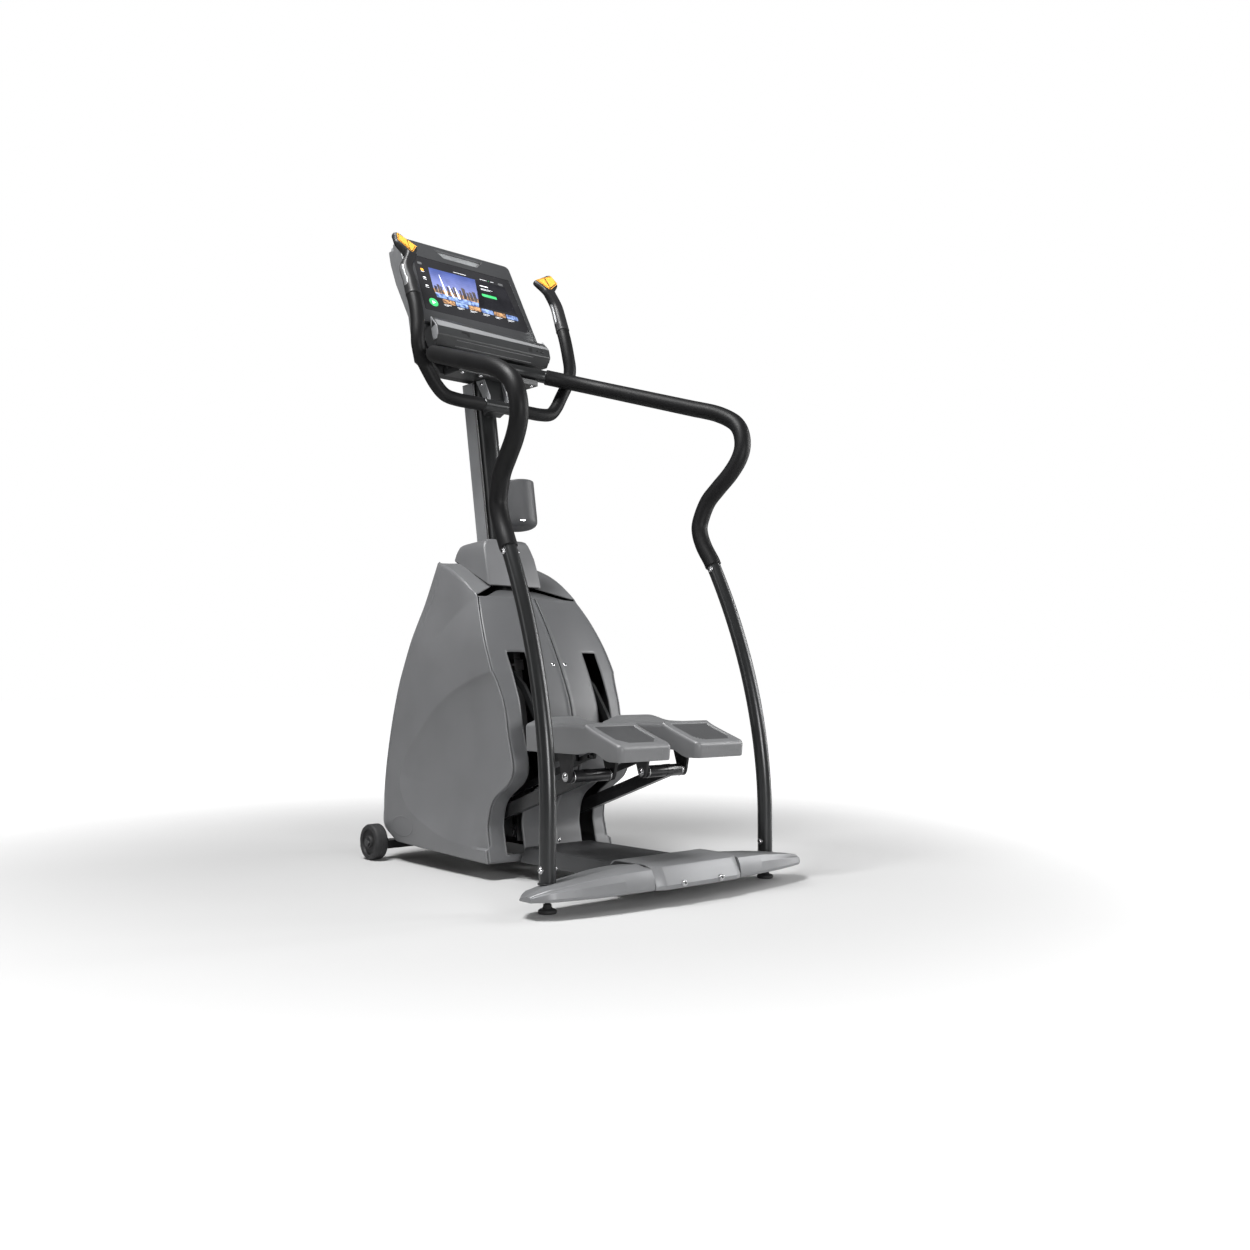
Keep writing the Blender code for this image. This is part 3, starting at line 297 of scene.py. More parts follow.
def sweep(path, radius, sides=36, lip=0.0015):
    """Round bar along a path, with slightly rounded ends."""
    tangents = []
    for i in range(len(path)):
        ahead = path[min(i + 1, len(path) - 1)] - path[max(i - 1, 0)]
        tangents.append(ahead.normalized())
    across = tangents[0].orthogonal().normalized()
    rings = []
    for place, tangent in zip(path, tangents):
        across = (across - tangent * across.dot(tangent)).normalized()
        other = tangent.cross(across)
        rings.append([place + (across * math.cos(a) + other * math.sin(a)) * radius
            for a in (2 * math.pi * k / sides for k in range(sides))])
    for index, tangent in ((0, tangents[0]), (-1, -tangents[-1])):
        centre, ring = path[index], rings[index]
        shrunk = [centre + (p - centre) * (1 - lip / (p - centre).length) for p in ring]
        moved = [p + tangent * lip for p in ring]
        if index == 0:
            rings = [shrunk, moved] + rings[1:]
        else:
            rings = rings[:-1] + [moved, shrunk]
    return loft(rings)


def mirrored(points, sign):
    """The points with x on the chosen side."""
    return [Vector((sign * p[0], p[1], p[2])) for p in points]


def bolt_head(centre, axis, radius=0.0065, height=0.0042):
    """Button head with a hexagon socket."""
    dome = [(0.0026, height * 0.45), (0.0028, height), (radius * 0.55, height),
        (radius * 0.82, height * 0.86), (radius, height * 0.45), (radius, 0.0), (0.0, 0.0),
        (0.0, height * 0.45)]
    return lathe(dome[::-1], centre, axis, 24)


def washered_bolt(place, axis, washer, lift):
    """Flat washer, given as radius and height, and a button head sunk a little into it."""
    radius, height = washer
    plate = lathe([(0, 0), (radius, 0), (radius, height), (0, height)], place, axis, 24)
    return merge(plate, bolt_head(place + Vector(axis) * lift, axis))


# ---- rails --------------------------------------------------------------------------
def rail_z(y):
    """Height of the handrail's sloping plane at a distance forward of the feet."""
    return 1.1955 + 0.322 * y


def upright_path(steps=28):
    """Centre line of the right upright."""
    path = [at(FOOT_X, 0, 0.0455), at(FOOT_X, 0, 0.11), at(FOOT_X, 0, 0.18)]
    for i in range(1, steps + 1):
        z = 0.18 + (0.8297 - 0.18) * i / steps
        path.append(at(FOOT_X - 0.0143 * i / steps, 0.4045 * (z - 0.18) ** 2, z))
    return path


def grip_path():
    """Centre line of the right foam-covered grip."""
    foot, nearly = upright_path()[-1], upright_path()[-2]
    ahead = (foot - nearly).normalized()
    lower = [(0.3415, 0.202, 0.884), (0.3408, 0.2165, 0.924), (0.343, 0.215, 0.956), (0.349, 0.194, 1.005),
        (0.356, 0.161, 1.04), (0.364, 0.126, 1.074), (0.371, 0.101, 1.108), (0.3765, 0.09, 1.14),
        (0.38, 0.092, 1.172), (0.382, 0.105, 1.202), (0.383, 0.133, 1.228)]
    rail = [(0.378, 0.19), (0.364, 0.27), (0.348, 0.36)]
    for degrees in (10, 24, 38, 52, 65):
        turn = math.radians(degrees)
        rail.append((0.066 + 0.25 * math.cos(turn), 0.469 + 0.25 * math.sin(turn)))
    points = [foot + ahead * 0.012] + [at(*p) for p in lower] + [at(x, y, rail_z(y)) for x, y in rail]
    return [foot - ahead * 0.004] + smooth_path(points, 7)


def middle_path():
    """Centre line of the bare middle of the handrail."""
    end, nearly = grip_path()[-1], grip_path()[-2]
    ahead = (end - nearly).normalized()
    points = [end - ahead * 0.004, end + ahead * 0.012]
    points += [at(x, y, rail_z(y)) for x, y in ((0.11, 0.7155), (0.06, 0.7185))]
    return smooth_path(points + mirrored(points[::-1], -1), 6)


def make_rails():
    """Uprights with their cross bolts, foam grips, and the bare middle under the console."""
    for side, sign in SIDES:
        path = mirrored(upright_path(), sign)
        put(f"upright_tube_{side}", sweep(path, 0.019, 40), COAT,
            replaces=(f"upright_{side}",))
        grip = mirrored(grip_path(), sign)
        foam = put(f"rail_foam_{side}", sweep(grip, 0.0225, 40, 0.0022), FOAM,
            replaces=(f"handrail_grip_{side}",))
        heads = []
        for x, y, z in ((FOOT_X, 0.0, 0.096), (0.3462, 0.1638, 0.8165)):
            for face in (-1, 1):
                place = at(sign * x, y, z) + Vector((face * 0.0176, 0, 0))
                heads.append(washered_bolt(place, (face, 0, 0), (0.0082, 0.0026), 0.0022))
        put(f"upright_bolts_{side}", merge(*heads), STEEL)
    put("rail_middle", sweep(middle_path(), 0.0187, 40), COAT, replaces=("handrail_middle",))


make_rails()


# ---- shroud -------------------------------------------------------------------------
REAR_EDGE = [(0.4365, 0.043), (0.45, 0.1), (0.457, 0.145), (0.437, 0.204), (0.368, 0.255), (0.354, 0.3),
    (0.3755, 0.378), (0.3905, 0.447), (0.4075, 0.492), (0.4285, 0.537), (0.4655, 0.607), (0.509, 0.68),
    (0.5537, 0.745)]
REAR_HALF = [0.2135, 0.213, 0.2128, 0.2125, 0.2123, 0.2122, 0.212, 0.2118, 0.2116, 0.2112, 0.207, 0.1945,
    0.179]
FRONT_EDGE = [(0.9, 0.057), (0.96, 0.096), (0.963, 0.15), (0.962, 0.212), (0.955, 0.28), (0.941, 0.356),
    (0.925, 0.425), (0.904, 0.499), (0.88, 0.56), (0.85, 0.625), (0.826, 0.675), (0.795, 0.735),
    (0.745, 0.844)]
HALF_WIDTHS = [0.209, 0.211, 0.211, 0.21, 0.208, 0.206, 0.204, 0.201, 0.198, 0.195, 0.189, 0.182, 0.174]
CORNER_R = 0.07
CORNER_TURN = 84
TOP_LEVEL = 12
BADGE_SIDES = 48
PANEL = [(0.3, 0.538), (0.37, 0.544), (0.4285, 0.537), (0.53, 0.514), (0.63, 0.475), (0.705, 0.43),
    (0.77, 0.375), (0.825, 0.322), (0.862, 0.272), (0.874, 0.238), (0.867, 0.204), (0.845, 0.172),
    (0.804, 0.143), (0.72, 0.112), (0.625, 0.088), (0.54, 0.081), (0.4447, 0.079), (0.3, 0.074)]
CREASE = [(0.52, 0.75), (0.57, 0.728), (0.613, 0.705), (0.655, 0.68), (0.694, 0.649), (0.72, 0.624),
    (0.741, 0.598), (0.757, 0.57)]


def along(points, v):
    """Value on a smooth curve through a list of points, at a position counted in points."""
    points = [Vector(p) if isinstance(p, tuple) else Vector((p, 0)) for p in points]
    i = min(int(v), len(points) - 2)
    return between(*with_ends(points)[i:i + 4], v - i)


def eased(value, low, high):
    """0 below low, 1 above high, smooth between."""
    t = min(max((value - low) / (high - low), 0), 1)
    return t * t * (3 - 2 * t)


def fine(points, steps=8):
    """Denser smooth version of a side-view line, as plain pairs."""
    return [(p.x, p.y) for p in smooth_path([(y, z, 0) for y, z in points], steps)]


def nearest(line, y, z):
    """Distance to a line, the nearest point and its share of the line's segments."""
    best = (9.0, None, 0.0)
    for i, ((ay, az), (by, bz)) in enumerate(zip(line, line[1:])):
        dy, dz = by - ay, bz - az
        t = min(max(((y - ay) * dy + (z - az) * dz) / (dy * dy + dz * dz), 0), 1)
        py, pz = ay + dy * t, az + dz * t
        gap = math.hypot(y - py, z - pz)
        if gap < best[0]:
            best = (gap, (py, pz), (i + t) / (len(line) - 1))
    return best


def inside(outline, y, z):
    """Whether a side-view point is inside an outline."""
    hit = False
    for (ay, az), (by, bz) in zip(outline, outline[1:] + outline[:1]):
        if (az > z) != (bz > z) and y < (by - ay) * (z - az) / (bz - az) + ay:
            hit = not hit
    return hit


DISH_WIDTH = 0.15
FACET_DEPTH = 0.0095
PANEL_LINE, CREASE_LINE = fine(PANEL), fine(CREASE)
PANEL_RIM = PANEL_LINE[14:-14]
UNDER_CREASE = CREASE_LINE + [(0.74, 0.4), (0.3, 0.4), (0.3, 0.75)]


def side_depth(y, z):
    """How far the shell's side is pressed in: the lower dished panel and the upper facet."""
    depth = 0.0
    if inside(PANEL_LINE, y, z):
        gap = nearest(PANEL_RIM, y, z)[0]
        bowl = 1 - (1 - min(gap / DISH_WIDTH, 1)) ** 2
        rim = 1 - math.exp(-gap / (0.012 + 0.04 * (1 - eased(z, 0.12, 0.36))))
        depth += (0.011 + 0.005 * eased(y, 0.42, 0.58)) * bowl + 0.004 * rim
    gap, _, share = nearest(CREASE_LINE, y, z)
    reach = 0.075 if inside(UNDER_CREASE, y, z) else 0.06
    return depth + FACET_DEPTH * math.exp(-gap / reach) * (1 - eased(share, 0.35, 1.0))


def shell_point(v, t):
    """Point of the right shell: v goes up its levels, t along the side, round the corner to x = 0."""
    rear, front = along(REAR_EDGE, v), along(FRONT_EDGE, v)
    half = along(HALF_WIDTHS, v).x
    corner = front.x - 0.024
    if t <= 3:
        s = t / 3
        y = rear.x + s * (corner - rear.x)
        x = along(REAR_HALF, v).x * (1 - s) + (half - 0.002) * s + 0.0024 * math.sin(math.pi * s)
    elif t <= 6:
        turn = math.radians((t - 3) / 3 * CORNER_TURN)
        x = half - 0.002 - CORNER_R * (1 - math.cos(turn))
        y = corner + CORNER_R * math.sin(turn)
    else:
        turn = math.radians(CORNER_TURN)
        start = half - 0.002 - CORNER_R * (1 - math.cos(turn))
        share = (t - 6) / 2
        x = start + (0.0006 - start) * share
        y = corner + CORNER_R * math.sin(turn) + 0.0064 * (1 - (1 - share) ** 2)
    share = min(max((y - rear.x) / (front.x - rear.x), 0), 1)
    z = rear.y + share * (front.y - rear.y) + 0.011 * math.sin(math.pi * share) * eased(v, 9, 12)
    if t < 2.9:
        for line in (PANEL_RIM, CREASE_LINE[:-16]):
            gap, place, _ = nearest(line, y, z)
            if gap < 0.0018:
                y, z = place
        x -= side_depth(y, z)
    return x, y, z


def shell_rows():
    """Grid of the right shell: its levels, a rounded brow and the deck up to the neck's opening."""
    columns = ([3 * i / 110 for i in range(110)] + [3 + 3 * i / 14 for i in range(14)]
        + [6 + 2 * i / 10 for i in range(11)])
    levels = [TOP_LEVEL * i / 150 for i in range(151)]
    rows = [[shell_point(v, t) for t in columns] for v in levels]
    deck = [(0.078, 0.616, 0.778), (0.078, 0.67, 0.806), (0.078, 0.715, 0.829), (0.078, 0.742, 0.842),
        (0.07, 0.758, 0.849), (0.058, 0.766, 0.853), (0.045, 0.771, 0.855), (0.024, 0.773, 0.856),
        (0.0006, 0.774, 0.856)]
    edge, before = rows[-1], rows[-2]
    for share in (0.03, 0.06, 0.1, 0.18, 0.3, 0.45, 0.6, 0.75, 0.9, 1.0):
        row = []
        for t, rim, low in zip(columns, edge, before):
            goal = along(deck, min(t, 8))
            up = Vector(rim) - Vector(low)
            flat = Vector(rim).lerp(Vector(goal), share)
            swell = 0.0045 * math.exp(-((share / 0.07) ** 2)) if share < 0.2 else 0.0
            row.append(flat + up.normalized() * swell)
        rows.append(row)
    return rows


def make_shrouds():
    """Side shells with a dished lower panel, an upper facet and a blank oval badge."""
    rows = shell_rows()
    for side, sign in SIDES:
        bm = quads([[at(sign * x, y, z) for x, y, z in row] for row in rows])
        shell = put(f"shell_{side}", bm, SHROUD, replaces=(f"shroud_{side}",), smooth=50)
        face_out(shell, Vector((0, 0.22, 0.4)))
        add_wall_shaded_inside(shell, 0.0035)
        turns = [2 * math.pi * k / BADGE_SIDES for k in range(BADGE_SIDES)]
        loops = ((1.0, 0.0003), (0.95, 0.001), (0.9, 0.0003))
        rim = [[badge_point(sign, scale, turn, lift) for turn in turns] for scale, lift in loops]
        bm = loft(rim, caps=False)
        bm.faces.new([bm.verts.new(badge_point(sign, 0.895, turn, 0.0002)) for turn in turns])
        badge = put(f"badge_{side}", bm, SHROUD, smooth=60)
        face_out(badge, Vector((0, 0.41, 0.1)))


def badge_point(sign, scale, turn, lift):
    """Point on the blank oval badge, low on the shell's side."""
    y = 0.855 + 0.058 * scale * math.cos(turn)
    z = 0.103 + 0.029 * scale * math.sin(turn)
    return at(sign * (side_surface(y, z) + lift), y, z)


def side_surface(y, z):
    """Half width of the shell's side at a side-view point."""
    best = None
    for i in range(121):
        v = TOP_LEVEL * i / 120
        rear, front = along(REAR_EDGE, v), along(FRONT_EDGE, v)
        share = (y - rear.x) / (front.x - rear.x)
        gap = abs(rear.y + share * (front.y - rear.y) - z)
        if best is None or gap < best[0]:
            best = (gap, v, rear.x, front.x - 0.024)
    _, v, rear_y, corner = best
    x, _, _ = shell_point(v, min(max(3 * (y - rear_y) / (corner - rear_y), 0), 2.99))
    return x


def face_out(made, centre):
    """Turns an open surface's faces away from a point inside it."""
    mesh = made.data
    total = sum((face.center - centre).dot(face.normal) * face.area for face in mesh.polygons)
    if total < 0:
        mesh.flip_normals()


def add_wall_shaded_inside(made, thickness, even=True):
    """Gives an open surface a wall whose inner side is black: painted shade inside the part."""
    made.data.materials.append(BLACK_AND_SHADE)
    modifier = made.modifiers.new("wall", "SOLIDIFY")
    modifier.thickness = thickness
    modifier.offset = -1
    modifier.use_even_offset = even
    # The inner side takes the black material: painted shade.
    modifier.material_offset = 1
    modifier.material_offset_rim = 0


# ---- rear covers --------------------------------------------------------------------
SLOT_X = (0.0985, 0.1515)
SLOT_Z = (0.062, 0.59)
SLOT_START = 3
LIP_HALF = 0.154


def level_of(z):
    """Level whose rear edge is at this height."""
    low, high = 0.0, TOP_LEVEL
    for _ in range(40):
        middle = (low + high) / 2
        low, high = (middle, high) if along(REAR_EDGE, middle).y < z else (low, middle)
    return low


def cover_point(v, x, half):
    """Point of the right rear cover: it bulges back towards the middle, with a ridge at the seam."""
    rear = along(REAR_EDGE, v)
    bulge = min(0.0155 + 0.04 * (rear.y - 0.04), 0.029) * (1 - (x / half) ** 2)
    ridge = 0.0015 * (1 - eased(x, 0.0085, 0.0105))
    return Vector((x, rear.x + 0.001 - bulge - ridge, rear.y))


def cover_rows(columns, shares):
    """Grid of the right rear cover: up its back, over its top edge and onto the deck."""
    bottom, top = level_of(SLOT_Z[0]), level_of(SLOT_Z[1])
    levels = [bottom * i / SLOT_START for i in range(SLOT_START)]
    levels += [bottom + (top - bottom) * i / 72 for i in range(72)]
    levels += [top + (11.85 - top) * i / 20 for i in range(21)]
    rows = []
    for v in levels:
        edge = shell_point(v, 0)[0]
        outer = [SLOT_X[1] + (edge - 0.005 - SLOT_X[1]) * share for share in shares]
        rows.append([cover_point(v, x, edge) for x in columns + outer])
    last = rows[-1]
    for lift, step in ((0.003, 0.0012), (0.0052, 0.004), (0.0062, 0.009)):
        rows.append([p + Vector((0, step, lift)) for p in last])
    lip = []
    for x in columns + [SLOT_X[1] + (LIP_HALF - SLOT_X[1]) * share for share in shares]:
        fall = eased(x, 0.05, LIP_HALF)
        lip.append(Vector((min(x, LIP_HALF), 0.604 - 0.049 * fall, 0.7655 - 0.0245 * fall)))
    return rows + [lip]


def cover_sheet(sign):
    """Rear cover without the faces of its slot and of the cut-out over the base beam."""
    columns = [0.0019, 0.0052, 0.0085, 0.0092, 0.0099, 0.0106]
    columns += [0.0106 + (SLOT_X[0] - 0.0106) * i / 14 for i in range(1, 14)]
    columns += [SLOT_X[0] + 0.053 * i / 6 for i in range(6)]
    slot_rows, slot_columns = range(SLOT_START, SLOT_START + 72), range(len(columns) - 6, len(columns))
    bm = bmesh.new()
    rows = cover_rows(columns, [i / 8 for i in range(9)])
    grid = [[bm.verts.new(at(sign * x, y, z)) for x, y, z in row] for row in rows]
    for i, (low, high) in enumerate(zip(grid, grid[1:])):
        for j, corners in enumerate(zip(low, low[1:], high[1:], high)):
            in_slot = i in slot_rows and j in slot_columns
            at_beam = low[j].co.z < SLOT_Z[0] - 0.001 and abs(low[j + 1].co.x) < 0.099
            if not in_slot and not at_beam:
                bm.faces.new(corners)
    bmesh.ops.delete(bm, geom=[v for v in bm.verts if not v.link_faces], context="VERTS")
    return bm


def cover_screws(sign):
    """Button screws beside the seam, square to the cover."""
    screws = []
    for x, z in ((0.0206, 0.557), (0.018, 0.086)):
        v = level_of(z)
        place = cover_point(v, x, shell_point(v, 0)[0])
        rise = (cover_point(v + 0.1, x, 0.2) - cover_point(v - 0.1, x, 0.2)).normalized()
        normal = Vector((0, -rise.z, rise.y))
        spot = at(sign * place.x, place.y, place.z)
        screws.append(bolt_head(spot - normal * 0.0006, normal, 0.0052, 0.0026))
    return merge(*screws)


def make_rear_covers():
    """Rear covers with their slots, the seam with its ridge, and button screws; the covers are drawn in a
    darker copy of the shroud's grey as painted shade.
    """
    for side, sign in SIDES:
        cover = put(f"back_cover_{side}", cover_sheet(sign), SHADED_REAR_GREY,
            replaces=(f"rear_cover_{side}",), smooth=40)
        face_out(cover, Vector((0, 0.25, 0.4)))
        add_wall_shaded_inside(cover, 0.0026, even=False)
        put(f"cover_screws_{side}", cover_screws(sign), STEEL)


def rounded_ring(half_width, rear, front, z_rear, z_front, corner, steps=7):
    """Ring seen from above: a rounded rectangle on a plane that slopes from rear to front."""
    ring = []
    for side, y, start in ((1, rear, 270), (1, front, 0), (-1, front, 90), (-1, rear, 180)):
        centre_x = side * (half_width - corner)
        centre_y = y + corner if y == rear else y - corner
        for i in range(steps):
            turn = math.radians(start + 90 * i / (steps - 1))
            x = centre_x + corner * math.cos(turn)
            place = centre_y + corner * math.sin(turn)
            share = (place - rear) / (front - rear)
            ring.append(at(x, place, z_rear + share * (z_front - z_rear)))
    return ring


def make_neck():
    """Hood around the mast's foot, with a dark gasket under it."""
    rows = [(0.092, 0.607, 0.782, 0.7795, 0.8605, 0.007), (0.0918, 0.6075, 0.7817, 0.782, 0.8615, 0.007),
        (0.091, 0.612, 0.78, 0.8, 0.866, 0.007), (0.0895, 0.622, 0.777, 0.83, 0.876, 0.007),
        (0.087, 0.632, 0.773, 0.862, 0.886, 0.008), (0.0835, 0.643, 0.769, 0.886, 0.895, 0.009),
        (0.078, 0.648, 0.765, 0.902, 0.9, 0.01), (0.07, 0.65, 0.762, 0.9105, 0.903, 0.01),
        (0.06, 0.651, 0.76, 0.9125, 0.904, 0.009), (0.0386, 0.6525, 0.7575, 0.9125, 0.904, 0.006),
        (0.0376, 0.6532, 0.7568, 0.91, 0.901, 0.006), (0.0376, 0.6532, 0.7568, 0.88, 0.88, 0.006)]
    rings = [rounded_ring(*row) for row in rows]
    put("neck_hood", loft(rings, caps=False), SHROUD, replaces=("neck_cover",), smooth=50)
    seam = [rounded_ring(0.0925, 0.6065, 0.7825, 0.7775, 0.8585, 0.012),
        rounded_ring(0.0925, 0.6065, 0.7825, 0.78, 0.861, 0.012),
        rounded_ring(0.089, 0.61, 0.779, 0.7812, 0.8622, 0.01)]
    put("neck_seam", loft(seam, caps=False), BLACK_AND_SHADE, smooth=50)


make_shrouds()
make_rear_covers()
make_neck()


# ---- mast ---------------------------------------------------------------------------
def mast_plate(outline, start_z, end_z):
    """Bar along the mast from an outline of (x, distance forward of the centre line)."""
    rise = end_z - start_z
    points = [at(x, mast_y(start_z) + y, start_z) for x, y in outline]
    return prism(points, (0, MAST_SLOPE * rise, rise))


def make_mast():
    """Round mast, its front cover, and the pale side plates with their bright rear edge."""
    foot, head = 0.0755, 1.384
    tube = [at(0, mast_y(foot), foot).lerp(at(0, mast_y(head), head), i / 4) for i in range(5)]
    put("mast_round", sweep(tube, 0.03, 48), COAT, replaces=("mast_tube",))
    walls = [(0.034, -0.004), (0.034, 0.0545), (0.029, 0.0618), (-0.029, 0.0618), (-0.034, 0.0545),
        (-0.034, -0.004), (-0.0312, -0.004), (-0.0312, 0.0535), (-0.0278, 0.058), (0.0278, 0.058),
        (0.0312, 0.0535), (0.0312, -0.004)]
    put("mast_channel", mast_plate(walls, 0.872, 1.3845), COAT, replaces=("mast_cover",),
        bevel=0.0008, smooth=30)
    for side, sign in SIDES:
        plate = box_outline(sign * 0.0341, sign * 0.0353, 0.0035, 0.0525)
        put(f"mast_plate_{side}", mast_plate(plate, 0.886, 1.383), PALE, bevel=0.0005)
        edge = box_outline(sign * 0.0318, sign * 0.0353, -0.0046, 0.002)
        put(f"mast_trim_{side}", mast_plate(edge, 0.884, 1.384), STEEL, bevel=0.0009)


def make_cup():
    """Bottle holder: a rounded cup with a rolled rim and a drain slot, on a bracket."""
    lean = Vector((0, MAST_SLOPE, 1)).normalized()
    base = at(0, 0.586, 0.94)
    profile = [(0.0, 0.0), (0.03, 0.0), (0.0385, 0.001), (0.044, 0.0042), (0.0478, 0.0095),
        (0.0491, 0.016), (0.0494, 0.03), (0.0495, 0.124), (0.0495, 0.129), (0.0489, 0.1303),
        (0.0474, 0.1303), (0.0464, 0.1292), (0.0462, 0.124), (0.046, 0.02), (0.043, 0.01), (0.034, 0.0042),
        (0.0, 0.004)]
    put("cup", lathe(profile, base, lean, 72), COVER, replaces=("cup_holder",), smooth=50)
    strut = [(0.6365, 0.986), (0.6755, 0.99), (0.6842, 1.041), (0.646, 1.036)]
    put("cup_bracket", side_plate(strut, -0.0155, 0.0155), COAT, bevel=0.002)
    slot = [(0.0085 * a, 0.0016 * b) for a, b in disc(0, 0, 1, 16)]
    centre = base + lean * 0.0185 + Vector((-0.0225, -0.0437, 0))
    outward = Vector((-0.0225, -0.0437, 0)).normalized()
    across = Vector((outward.y, -outward.x, 0))
    outline = [centre + across * a + Vector((0, 0, b)) - outward * 0.0004 for a, b in slot]
    put("cup_drain", prism(outline, outward * 0.0006), STEEL)


make_mast()
make_cup()


# ---- console ------------------------------------------------------------------------
PANEL_FACE = surface("console_face", (0.04, 0.041, 0.043), 0.06, (0.3, 0.4), (1500, 0.06), specular=0.4)
# Lighter grey laid over one sloping facet of the tray: painted light on that facet.
LIT_WEDGE_GREY = surface("tray_wedge_painted_light", (0.2, 0.203, 0.208), 0.05, (0.32, 0.42), (1400, 0.06))
BAND = surface("tray_band", (0.026, 0.027, 0.028), 0.06, (0.34, 0.44), (1400, 0.08))
LAYER = surface("console_layer", (0.115, 0.117, 0.121), 0.05, (0.3, 0.4), (1400, 0.06))
PLATE = surface("pulse_plate", (0.55, 0.56, 0.57), 0.12, (0.24, 0.34), (1500, 0.25), metallic=0.9)
MESH = surface("fan_silver", (0.42, 0.43, 0.44), 0.1, (0.3, 0.42), (900, 0.1), metallic=0.5)


def glow(name, low, high, strength=0.9, blotch=9.0):
    """Screen colour that shines through the glass, varying between two tones."""
    made = surface(name, tuple((a + b) / 2 for a, b in zip(low, high)), 0.25, (0.12, 0.2), (60, 0.0),
        blotch)
    tree = made.node_tree
    shader = tree.nodes["Principled BSDF"]
    tone = ramp(tree, noise(tree, blotch, 4.0), low, high, 0.35, 0.65)
    tree.links.new(tone, shader.inputs["Base Color"])
    tree.links.new(tone, shader.inputs["Emission Color"])
    shader.inputs["Emission Strength"].default_value = strength
    return made


def face(x, up, lift=0.0):
    """World point on the console's face: across, up along the face, and out of it."""
    s, c = math.sin(CONSOLE_TILT), math.cos(CONSOLE_TILT)
    return at(x, FACE_LOW[0] + up * s - lift * c, FACE_LOW[1] + up * c + lift * s)


def rounded(points, radius, steps=6):
    """Flat outline with rounded corners; radius is a number or one per corner."""
    count = len(points)
    radii = radius if isinstance(radius, (list, tuple)) else [radius] * count
    done = []
    for i, (x, y) in enumerate(points):
        here = Vector((x, y))
        before, after = Vector(points[i - 1]) - here, Vector(points[(i + 1) % count]) - here
        cut = min(radii[i], before.length * 0.45, after.length * 0.45)
        start, end = here + before.normalized() * cut, here + after.normalized() * cut
        for k in range(steps + 1):
            t = k / steps
            done.append(tuple((1 - t) ** 2 * start + 2 * t * (1 - t) * here + t * t * end))
    return done


def holed(outer, holes, place):
    """Flat face with holes, laid out by a function from (a, b) to a world point."""
    bm = bmesh.new()
    edges = []
    for outline in (outer, *holes):
        verts = [bm.verts.new(place(*p)) for p in outline]
        edges += [bm.edges.new((a, b)) for a, b in zip(verts, verts[1:] + verts[:1])]
    bmesh.ops.triangle_fill(bm, use_beauty=True, use_dissolve=False, edges=edges)
    return bm


def panel(outline, lift, depth):
    """Plate on the console's face, from lift down to lift - depth."""
    top = [face(x, up, lift) for x, up in outline]
    return prism(top, face(0, 0, lift - depth) - face(0, 0, lift))


def face_loops(*loops):
    """Strip between outlines on the console's face, each at its own lift."""
    return loft([[face(x, up, lift) for x, up in outline] for outline, lift in loops], caps=False)


def fan_shape(grow, low, high):
    """Outline of the fan's opening: wider at its top."""
    return rounded([(-0.056 - grow, low), (0.056 + grow, low), (0.082 + grow * 1.4, high),
        (-0.082 - grow * 1.4, high)], 0.003, 3)


SCREEN = [(-0.188, 0.066), (0.188, 0.066), (0.174, 0.276), (-0.174, 0.276)]
BEZEL = [(-0.2035, 0.018), (0.2035, 0.018), (0.19, 0.3345), (-0.19, 0.3345)]


def make_bezel():
    """Face of the console with its light rim, the glass and the louvred fan grille."""
    outer = rounded(BEZEL, [0.004, 0.004, 0.016, 0.016])
    shape = rounded(SCREEN, 0.004)
    fan = fan_shape(0.004, 0.2945, 0.3215)
    bm = holed(outer, [shape, fan], lambda x, up: face(x, up, 0.0))
    bezel = put("bezel_face", bm, PANEL_FACE, replaces=("console_bezel",), bevel=0.0008,
        segments=2)
    face_out(bezel, face(0, 0.17, -0.5))
    add_wall_shaded_inside(bezel, 0.0116)
    bezel.modifiers.move(1, 0)
    rim = rounded([(-0.2045, 0.0185), (0.2045, 0.0185), (0.1912, 0.336), (-0.1912, 0.336)],
        [0.004, 0.004, 0.017, 0.017])
    rim_piece = put("bezel_rim", face_loops((outer, 0.0002), (rim, -0.0006), (rim, -0.0105)), LAYER,
        smooth=50)
    face_out(rim_piece, face(0, 0.17, -0.006))
    pane = [(x * 0.9985, y + (0.0003 if y < 0.1 else -0.0003)) for x, y in SCREEN]
    put("glass", panel(rounded(pane, 0.004), -0.0008, 0.009), GLASS,
        replaces=("screen_glass",), bevel=0.0006, segments=2)
    floor = panel(fan_shape(0.0036, 0.2949, 0.3211), -0.0085, 0.0022)
    put("fan_floor", floor, BLACK_AND_SHADE)
    slats = []
    for k in range(7):
        up = 0.2975 + 0.0034 * k
        half = 0.056 + 0.026 * (up - 0.2945) / 0.027
        slats.append(panel(box_outline(-half, half, up - 0.001, up + 0.0011), -0.002 - 0.0004 * k, 0.0028))
    for k in range(-6, 7):
        x = k * 0.0098
        slats.append(panel(box_outline(x - 0.0006, x + 0.0006, 0.2955, 0.3203), -0.0042, 0.0022))
    put("fan_louvres", merge(*slats), MESH, replaces=("fan_grille",), bevel=0.0003,
        segments=2)
    funnel = face_loops((fan_shape(0.0046, 0.294, 0.322), 0.0004),
        (fan_shape(0.0038, 0.2947, 0.3213), 0.0003), (fan_shape(0.0008, 0.2968, 0.3194), -0.004))
    frame_piece = put("fan_frame", funnel, LAYER, smooth=30)
    face_out(frame_piece, face(0, 0.308, -0.03))


